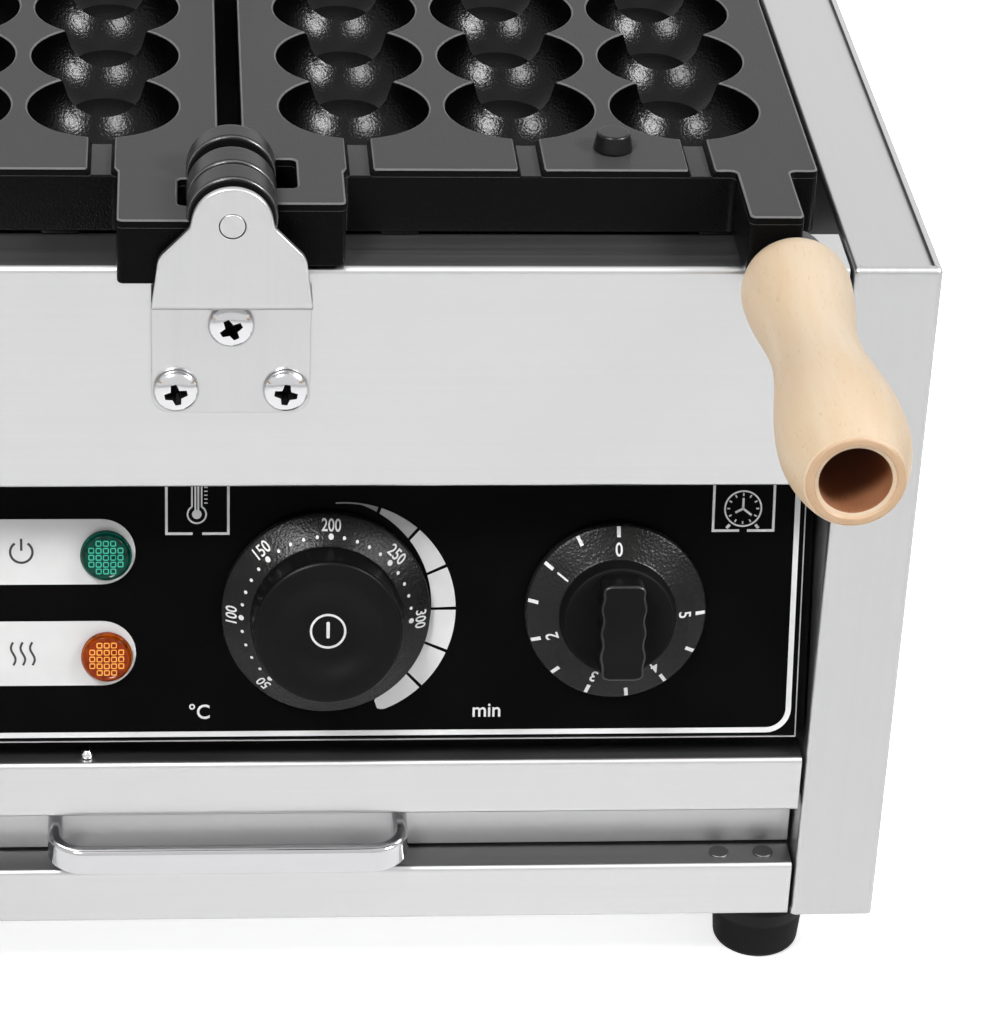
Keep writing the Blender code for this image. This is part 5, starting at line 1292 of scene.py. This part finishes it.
class BAKER_OT_timer(bpy.types.Operator):
    """Turn the timer knob, raise its scalloped grip and print its scale"""
    bl_idname = "baker.timer"
    bl_label = "Timer knob"

    def execute(self, context):
        carry = panel_seat(TIMER_X, KNOB_DROP)
        outer = rounded([(0.0250, KNOB_LOW), (0.0250, 0.0030), (0.0160, 0.0068), (0.0152, 0.0119),
                         (0.0, 0.0125)], (0, 0.0014, 0.0010, 0.0010, 0), steps=6)
        made = knob("timer", carry, outer, ["timer_knob"])
        # Painted shade: the hub's top is near black with little gloss
        second_finish(made, "recess_black", within(carry, 0.0160))
        made = piece("timer_grip", slab(grip_plan(), 0.0100, 0.0220, 0.0009, carry, 5, 0.0002), "knob_black",
                     "timer_dial")
        local = carry.to_3x3().inverted()
        # Painted highlight: the grip's rounded edges are lighter
        second_finish(made, "knob_edge", lambda _, normal: 0.30 < (local @ normal).z < 0.92)
        scale = Shape()
        wide, low, high = 0.0005, -0.0013, 0.0014
        tick = np.array([(-wide, low), (wide, low), (wide, high), (-wide, high)])
        angles = [angle for _, angle in TIMER_MARKS]
        halves = [(a + b) / 2 for a, b in zip(angles, angles[1:])]
        for angle in angles + halves:
            dial_mark(scale, tick, angle, outer, carry)
        for minutes, angle in TIMER_MARKS:
            dial_figure(scale, minutes, 0.0049, angle, 0.0185, outer, carry)
        printed("timer_scale", scale, "print_white", "timer_dial")
        return {"FINISHED"}


def lens_level(radius):
    """Height of a lamp's shallow dome at a radius: h + a (1 - (r / R)^2)."""
    return LENS_RISE + LENS_BULGE * (1 - (radius / LENS_RADIUS) ** 2)


def lens_shape(carry):
    """Lamp: a rimmed barrel with a thin outer ring round the dome."""
    rim = rounded([(0.0052, -0.0200), (0.0052, 0.0002), (0.0070, 0.0002), (0.0070, 0.0016), (0.0060, 0.0032),
                   (LENS_RADIUS, LENS_RISE)], (0, 0.0001, 0.0003, 0.0006, 0.0004, 0), steps=5)
    radius = np.linspace(0.0053, 0.0, 12)
    dome = np.stack((radius, lens_level(radius)), 1)
    return Shape().turned(np.concatenate(([(0, -0.0200)], rim, dome)), 96, carry)


def lens_squares(carry):
    """Raised outlines of rounded squares in rows on the lamp's dome, kept inside its rim, and a ring round
    the rim; their bright tint is a painted highlight.
    """
    shape = Shape()
    pitch, half, line = 0.00196, 0.00066, 0.00029
    square = rounded([(-half, -half), (half, -half), (half, half), (-half, half)], 0.00026, True, 4, 0)
    for row in range(-2, 3):
        for column in range(-2, 3):
            x, y = column * pitch, row * pitch
            away = math.hypot(x, y)
            if away < 0.0051:
                level = carry @ Matrix.Translation((0, 0, lens_level(away)))
                band(shape, square + np.array((x, y)), line, level, True)
    # Painted highlight: a bright ring round the rim
    band(shape, circle(0.0066, 96), 0.00028, carry @ Matrix.Translation((0, 0, 0.00195)), True)
    return shape


def up_panel(drop):
    """Height on the face of the panel over the line of the knobs, for a drop below the deck."""
    return (KNOB_DROP - drop) / math.cos(PANEL_TILT)


def bulb_lines(lines, carry):
    """Thermometer: a ring open to the top, a dot, two walls, a column and five marks."""
    prism(lines, circle(0.0013, 32), carry)
    band(lines, circle(0.0025, 40, math.radians(122), math.radians(296)), 0.00045, carry)
    for side in (-1, 1):
        band(lines, [(side * 0.0013, 0.0021), (side * 0.0013, 0.0220)], 0.00045, carry)
        band(lines, [(side * 0.0004, 0.0009), (side * 0.0004, 0.0150)], 0.0005, carry)
    for i in range(5):
        height = 0.0032 + i * 0.0011
        band(lines, [(0.0020, height), (0.0029, height)], 0.0003, carry)


def clock_lines(lines, carry):
    """Clock: a ring, twelve marks, three hands and two feet, as spokes of (angle, from, to, width)."""
    band(lines, circle(0.0050, 56), 0.00045, carry, True)
    spokes = [(i * 30, 0.0036, 0.0044, 0.0004) for i in range(12)]
    spokes += [(0, -0.0004, 0.0030, 0.0006), (-128, -0.0004, 0.0030, 0.0006), (118, -0.0004, 0.0024, 0.0006)]
    spokes += [(142, 0.0058, 0.0071, 0.0008), (-142, 0.0058, 0.0071, 0.0008)]
    for angle, start, end, width in spokes:
        band(lines, [(0, start), (0, end)], width, carry @ Matrix.Rotation(math.radians(angle), 4, "Z"))


def panel_lines(carry):
    """Border, brackets over the two knobs, pictograms and unit marks."""
    lines = Shape()
    head, low = up_panel(PRINT_HEAD), up_panel(0.1445)
    band(lines, rounded([(-0.1551, head), (-0.1551, low), (0.1551, low), (0.1551, head)],
                        (0, 0.0062, 0.0062, 0), steps=14), 0.0015, carry)
    for left, right, drop, gap in ((-0.0169, -0.0002, 0.0884, 0.0013), (0.1320, 0.1486, 0.0881, 0.0011)):
        middle = (left + right) / 2
        for end, inner in ((left, middle - gap), (right, middle + gap)):
            band(lines, [(end, head), (end, up_panel(drop)), (inner, up_panel(drop))], 0.0007, carry)
    bulb_lines(lines, carry @ Matrix.Translation((-0.0087, up_panel(0.0831), 0)))
    clock_lines(lines, carry @ Matrix.Translation((0.1401, up_panel(0.0820), 0)))
    for text, x in (("°C", -0.0081), ("min", 0.0710)):
        points, faces = lettering(text, 0.0058, 0.95)
        lines.add(moved(points, carry @ Matrix.Translation((x, up_panel(0.1384), 0))), faces)
    return lines


def arc_outline(number, first, last):
    """Segment of the heat arc between two angles; the last one ends in a quarter ellipse.

    The inner circle is met at a reach of sqrt(r^2 - d^2 + l^2) - l along each spoke, for a
    distance d between the centres and its share l along the spoke.
    """
    angle = np.radians(np.linspace(first - ARC_HALF_GAP, last + ARC_HALF_GAP, 20))[:, None]
    spoke = np.concatenate((np.cos(angle), np.sin(angle)), 1)
    centre = np.array(ARC_CENTRE)
    apart = centre - ARC_INNER_CENTRE
    outer = np.full(len(spoke), ARC_RADIUS)
    lean = spoke @ apart
    reach = np.sqrt(ARC_RADIUS ** 2 - np.sum(apart ** 2) + lean ** 2) - lean
    if number == len(ARC_STARTS) - 2:
        end = np.clip((math.radians(first) - angle[:, 0]) / math.radians(first - last), 0, 1)
        round_end = np.sqrt(np.clip(1 - np.clip((end - 0.80) / 0.20, 0, 1) ** 2, 0, 1))
        middle = (ARC_RADIUS + reach) / 2
        half = (ARC_RADIUS - reach) / 2 * round_end
        outer, reach = middle + half, middle - half
    inner = np.minimum(reach, 0.0305)
    return np.concatenate((centre + outer[:, None] * spoke, (centre + inner[:, None] * spoke)[::-1]))


def pill_outline(left, right, low, high):
    """Bar with half round ends."""
    radius = (high - low) / 2
    middle = (high + low) / 2
    far = circle(radius, 24, -math.pi / 2, math.pi) + np.array((right - radius, middle))
    near = circle(radius, 24, math.pi / 2, math.pi) + np.array((left + radius, middle))
    return np.concatenate((far, near))


class BAKER_OT_panel_print(bpy.types.Operator):
    """Print the panel: border, pictograms, arc of rising heat, lamp fields and unit marks"""
    bl_idname = "baker.panel_print"
    bl_label = "Panel print"

    def execute(self, context):
        carry = panel_seat(0.0, KNOB_DROP)
        head, low = up_panel(PRINT_HEAD), up_panel(0.1464)
        # Painted highlight: a thin line along the panel's edge
        edge_highlight = Shape()
        band(edge_highlight, [(-0.1573, head), (-0.1573, low), (0.1573, low), (0.1573, head)], 0.0003, carry)
        printed("panel_edge_line", edge_highlight, "print_mid")
        printed("panel_lines", panel_lines(carry), "print_white")
        shades = ("print_grey", "print_mid") + ("print_silver",) * (len(ARC_STARTS) - 3)
        for number, (first, last) in enumerate(zip(ARC_STARTS, ARC_STARTS[1:])):
            arc = Shape()
            prism(arc, arc_outline(number, first, last), carry)
            printed(f"heat_arc_{number + 1}", arc, shades[number])
        symbols = []
        for word, drop in (("green", GREEN_DROP), ("amber", AMBER_DROP)):
            pill = Shape()
            middle = up_panel(drop - 0.0007)
            outline = pill_outline(-0.0820, -0.0253, middle - 0.00925, middle + 0.00925)
            prism(pill, outline, carry, high=PRINT_PROUD * 0.8)
            printed(f"{word}_lamp_field", pill, "print_silver")
            symbols.append(carry @ Matrix.Translation((-0.0560, middle, PRINT_PROUD * 0.7)))
        dark = Shape()
        power, heating = symbols
        band(dark, circle(0.0030, 40, math.radians(125), math.radians(290)), 0.00065, power)
        band(dark, [(0, 0.0004), (0, 0.0038)], 0.00065, power)
        t = np.linspace(0, 1, 24)
        for x in (-0.0026, 0.0, 0.0026):
            wave = np.stack((x + 0.0006 * np.sin(t * math.tau), 0.0066 * (t - 0.5)), 1)
            band(dark, wave, 0.0006, heating)
        printed("lamp_symbols", dark, "print_black")
        return {"FINISHED"}


class BAKER_OT_lamps(bpy.types.Operator):
    """Set the two pilot lamps with their squared lenses"""
    bl_idname = "baker.lamps"
    bl_label = "Pilot lamps"

    def execute(self, context):
        for word, drop in (("green", GREEN_DROP), ("amber", AMBER_DROP)):
            carry = panel_seat(LAMP_X, drop)
            made = piece(f"{word}_pilot_lamp", lens_shape(carry), f"lens_{word}_rim", "body",
                         [f"{word}_lamp"])
            second_finish(made, f"lens_{word}", within(carry, 0.0056, 0.0015))
            # The squares and ring carry a bright tint as painted highlights
            piece(f"{word}_lamp_squares", lens_squares(carry), f"lens_{word}_bright", "body", sharp=30)
        return {"FINISHED"}


# Finishes, stage and panel

# Streaks of a level sheet and of a sheet with no direction, and the finish of each packed slot
LEVEL = (5.0, 900.0, 900.0)
EVEN = (60.0, 60.0, 60.0)
SLOT_FINISHES = {
    "brushed_steel": "steel_level", "chrome": "chrome_plate", "heater_steel": "steel_dark",
    "cast_black": "cast_coating", "wood": "beech", "black_plastic": "knob_black",
    "panel_black": "panel_gloss", "rubber": "rubber_black", "green_lens": "lens_green",
    "amber_lens": "lens_amber", "ceramic": "ceramic_white",
}


def grey(level):
    """Colour with no hue."""
    return (level, level, level)


class BAKER_OT_finishes(bpy.types.Operator):
    """Build the shader groups and every finish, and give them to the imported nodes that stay"""
    bl_idname = "baker.finishes"
    bl_label = "Finishes"

    def execute(self, context):
        colours = context.scene.baker_finishes
        steel, casting, wood, panel, white = (
            tuple(getattr(colours, key)) for key in ("steel", "casting", "wood", "panel", "print"))
        streaks_group()
        grain_group()
        tint_group()
        # Name, streaks, colour, roughness
        for settings in (
                ("steel_level", LEVEL, steel),
                ("steel_upright", (900.0, 7.0, 7.0), times(steel, 0.90)),
                ("steel_bracket", (900.0, 60.0, 7.0), times(steel, 0.95), 0.32),
                ("steel_shaded", LEVEL, times(steel, 0.47), 0.34),
                # The recess tone is painted shade
                ("steel_recess", LEVEL, times(steel, 0.82), 0.34),
                ("steel_dark", EVEN, (0.42, 0.41, 0.40), 0.45),
                # Near black steel for the inner baffle: painted shade in the gap between the pans
                ("steel_scorched", EVEN, (0.05, 0.048, 0.046), 0.5),
                ("dark_rivet", (400.0, 400.0, 400.0), grey(0.10), 0.45)):
            steel_finish(*settings)
        polished_finish("chrome_plate", (0.60, 0.60, 0.61), 0.12)
        polished_finish("chrome_bright", (0.50, 0.50, 0.51), 0.09)
        # Walls, then the land's painted sheen and the rims' painted highlight
        cast_finish("cast_coating", casting, times(casting, 17), times(casting, 50))
        # Name, colour, clouded colour, roughness, scale of cells and of noise, depth, cells; specular
        for *settings, specular in (
                ("cast_cavity", times(casting, 0.1), times(casting, 0.3), 0.19, 1500.0, 1800.0, 0.00006,
                 1.0, 0.17),
                # The chamfer tone below is a painted highlight
                ("cast_edge", grey(0.06), grey(0.12), 0.25, 2300.0, 1500.0, 0.00002, 0.6, 0.5),
                ("cast_turned", casting, times(casting, 2), 0.30, 2300.0, 1500.0, 0.00003, 0.6, 0.22),
                ("knob_black", grey(0.005), grey(0.007), 0.33, 2400.0, 2200.0, 0.00002, 0.6, 0.08),
                ("knob_skirt", grey(0.007), grey(0.016), 0.28, 1300.0, 1500.0, 0.00009, 1.0, 0.14),
                # The grip's edge tone is a painted highlight
                ("knob_edge", grey(0.02), grey(0.04), 0.30, 2400.0, 2200.0, 0.00001, 0.5, 0.20),
                ("rubber_black", grey(0.006), grey(0.010), 0.55, 1200.0, 2000.0, 0.00002, 1.0, 0.08)):
            dark_finish(*settings, Specular_IOR_Level=specular)
        # Name, pale and warm figure, flecks
        for settings in (
                ("beech", wood, tuple(c * f for c, f in zip(wood, (0.94, 0.84, 0.70))), (0.88, 0.80, 0.72)),
                ("beech_bore", (0.40, 0.17, 0.08), (0.30, 0.12, 0.05), (0.7, 0.6, 0.5)),
                ("beech_end", (0.70, 0.48, 0.30), (0.62, 0.40, 0.24), (0.85, 0.75, 0.65))):
            wood_finish(*settings)
        # Near black with little gloss: painted shade in screw recesses, between hinge discs and on the
        # timer's hub
        plain_finish("recess_black", grey(0.003), grey(0.006), 0.6, Specular_IOR_Level=0.05)
        plain_finish("panel_gloss", panel, times(panel, 1.4), 0.30, Specular_IOR_Level=0.02)
        # Name, colour, clouded colour, roughness
        for settings in (
                ("print_white", times(white, 0.96), white, 0.5),
                ("print_silver", grey(0.70), grey(0.79), 0.38),
                # Mid grey: for the arc's print and for the painted highlight of the panel's edge
                ("print_mid", grey(0.40), grey(0.50), 0.4),
                ("print_grey", grey(0.20), grey(0.28), 0.4),
                ("print_black", grey(0.02), grey(0.03), 0.5),
                ("ceramic_white", (0.72, 0.70, 0.66), (0.78, 0.76, 0.72), 0.55)):
            plain_finish(*settings)
        # Name, colour of the depth and of the light
        for settings in (
                ("lens_green", (0.0, 0.010, 0.006), (0.001, 0.050, 0.032)),
                ("lens_amber", (0.10, 0.008, 0.0), (0.28, 0.030, 0.001)),
                # The bright tints are painted highlights on the squares and ring
                ("lens_green_bright", (0.015, 0.33, 0.21), (0.07, 0.50, 0.36)),
                ("lens_amber_bright", (0.90, 0.26, 0.03), (1.0, 0.46, 0.10)),
                ("lens_green_rim", (0.0, 0.010, 0.007), (0.0, 0.045, 0.03)),
                ("lens_amber_rim", (0.08, 0.008, 0.0), (0.26, 0.035, 0.0))):
            lens_finish(*settings)
        for part in frame["record"]["subparts"]:
            name = part.get("node") or part.get("name")
            # The inner baffle, seen between the pans, is painted near black as shade
            chosen = "steel_scorched" if name == "inner_baffle" else SLOT_FINISHES[part["material_slot"]]
            for slot in frame["nodes"][name].material_slots:
                slot.material = finish(chosen)
        bare = [n for n, obj in frame["nodes"].items() if obj.type == "MESH"
                and not all(s.material and s.material.use_nodes for s in obj.material_slots)]
        if bare:
            raise RuntimeError(f"packed nodes without a finish: {bare}")
        return {"FINISHED"}


def lamp_light(name, spot, aim, size, power, height=None):
    """Area lamp turned to face a point."""
    data = bpy.data.lights.new(name, "AREA")
    data.energy = power
    data.shape = "RECTANGLE"
    data.size = size
    data.size_y = height or size
    made = linked(name, data)
    made.location = spot
    made.rotation_euler = (Vector(aim) - Vector(spot)).to_track_quat("-Z", "Y").to_euler()
    return made


def studio_world():
    """White to the camera and in gloss, a plain pale level in the light it gives."""
    world = bpy.data.worlds.new("studio")
    bpy.context.scene.world = world
    world.use_nodes = True
    tree = world.node_tree
    tree.nodes.clear()
    level = node(tree, "Background", {"Color": (0.22, 0.22, 0.223, 1), "Strength": 1.0})
    white = node(tree, "Background", {"Color": (1, 1, 1, 1), "Strength": 1.0})
    rays = node(tree, "LightPath", {}).outputs
    share = math_node(tree, "MAXIMUM", rays["Is Camera Ray"], rays["Is Glossy Ray"])
    share = math_node(tree, "MAXIMUM", share, rays["Is Transmission Ray"])
    mix = node(tree, "MixShader", {0: share, 1: level.outputs[0], 2: white.outputs[0]})
    node(tree, "OutputWorld", {0: mix.outputs[0]})


def floor_finish(colour):
    """Matt pale floor, lifted for the camera and in gloss so that it meets the white background."""
    made = bpy.data.materials.new("studio_floor")
    made.use_nodes = True
    tree = made.node_tree
    rays = node(tree, "LightPath", {}).outputs
    seen = math_node(tree, "MULTIPLY", rays["Is Camera Ray"], 0.70)
    mirrored = math_node(tree, "MULTIPLY", rays["Is Glossy Ray"], 0.40)
    feed(tree, tree.nodes["Principled BSDF"], {
        "Emission Strength": math_node(tree, "MAXIMUM", seen, mirrored), "Emission Color": (1, 1, 1, 1),
        "Base Color": (*colour, 1), "Roughness": 0.9, "Specular IOR Level": 0.1})
    return made


def lay_floor(colour):
    """Square of floor under the feet, out of the machine's pieces."""
    mesh = bpy.data.meshes.new("floor")
    reach = 6.0
    corners = [(x * reach, y * reach, FLOOR) for x, y in ((-1, -1), (1, -1), (1, 1), (-1, 1))]
    mesh.from_pydata(corners, [], [(0, 1, 2, 3)])
    mesh.materials.append(floor_finish(colour))
    floor = linked("floor", mesh)


def set_camera():
    """Camera turned by yaw, pitch and roll, with its lens moved off the axis."""
    camera = bpy.data.cameras.new("camera")
    camera.lens = 130.8
    camera.sensor_width = 36.0
    camera.shift_x, camera.shift_y = 0.05, -0.03
    camera.clip_start, camera.clip_end = 0.05, 30.0
    holder = linked("camera", camera)
    yaw, pitch, roll = (math.radians(v) for v in (4.862, 30.077, 2.287))
    forward = Vector((math.sin(yaw) * math.cos(pitch), math.cos(yaw) * math.cos(pitch), -math.sin(pitch)))
    level = Vector((math.cos(yaw), -math.sin(yaw), 0))
    above = level.cross(forward)
    right = level * math.cos(roll) + above * math.sin(roll)
    up = above * math.cos(roll) - level * math.sin(roll)
    turn = Matrix((right, up, -forward)).transposed().to_4x4()
    holder.matrix_world = Matrix.Translation((-0.0137, -0.9209, 0.6590)) @ turn
    bpy.context.scene.camera = holder


class BAKER_OT_stage(bpy.types.Operator):
    """Lay the pale floor and set the lamps, the world and the camera"""
    bl_idname = "baker.stage"
    bl_label = "Stage"

    def execute(self, context):
        stage = context.scene.baker_stage
        lay_floor(tuple(stage.floor))
        aim = (0.05, 0.0, 0.22)
        right, left = (1.10, -0.53, 1.15), (-0.50, -0.80, 1.38)
        lamp_light("overhead_lamp", (0.10, -0.10, 1.9), aim, 1.1, stage.overhead)
        lamp_light("back_lamp", (0.0, 3.2, 1.7), (0.0, 0.0, 0.3), 6.0, stage.back, 2.6)
        lamp_light("right_lamp", right, aim, 0.30, stage.side * 0.6)
        lamp_light("left_lamp", left, aim, 0.36, stage.side)
        # The two sparkles show in gloss alone
        lamp_light("right_sparkle", right, aim, 0.42, stage.sparkle).visible_diffuse = False
        lamp_light("left_sparkle", left, aim, 0.40, stage.sparkle * 0.6).visible_diffuse = False
        studio_world()
        set_camera()
        context.scene.view_settings.view_transform = "Standard"
        return {"FINISHED"}


class BAKER_PT_sidebar(bpy.types.Panel):
    """Settings and the buttons that make the machine's pieces, in the sidebar"""
    bl_idname = "BAKER_PT_sidebar"
    bl_label = "Waffle baker"
    bl_space_type = "VIEW_3D"
    bl_region_type = "UI"
    bl_category = "Waffle baker"

    def draw(self, context):
        for settings in ("baker_finishes", "baker_sizes", "baker_stage"):
            group_of = getattr(context.scene, settings)
            box = self.layout.box()
            for name in group_of.bl_rna.properties.keys():
                if name not in ("rna_type", "name"):
                    box.prop(group_of, name)
        for operator in OPERATORS:
            self.layout.operator(operator.bl_idname)


OPERATORS = (BAKER_OT_finishes, BAKER_OT_sheets, BAKER_OT_moulds, BAKER_OT_handles, BAKER_OT_hinges,
             BAKER_OT_trims, BAKER_OT_temperature, BAKER_OT_timer, BAKER_OT_panel_print, BAKER_OT_lamps,
             BAKER_OT_stage)
CLASSES = (BakerFinishes, BakerSizes, BakerStage, *OPERATORS, BAKER_PT_sidebar)


def register():
    """Register the classes and hang the settings on the scene."""
    for made in CLASSES:
        bpy.utils.register_class(made)
    bpy.types.Scene.baker_finishes = bpy.props.PointerProperty(type=BakerFinishes)
    bpy.types.Scene.baker_sizes = bpy.props.PointerProperty(type=BakerSizes)
    bpy.types.Scene.baker_stage = bpy.props.PointerProperty(type=BakerStage)


def unregister():
    """Undo register."""
    del bpy.types.Scene.baker_stage
    del bpy.types.Scene.baker_sizes
    del bpy.types.Scene.baker_finishes
    for made in reversed(CLASSES):
        bpy.utils.unregister_class(made)


def main():
    """Make every piece in order."""
    register()
    for operator in OPERATORS:
        group_name, call = operator.bl_idname.split(".")
        getattr(getattr(bpy.ops, group_name), call)()


if __name__ == "__main__":
    main()
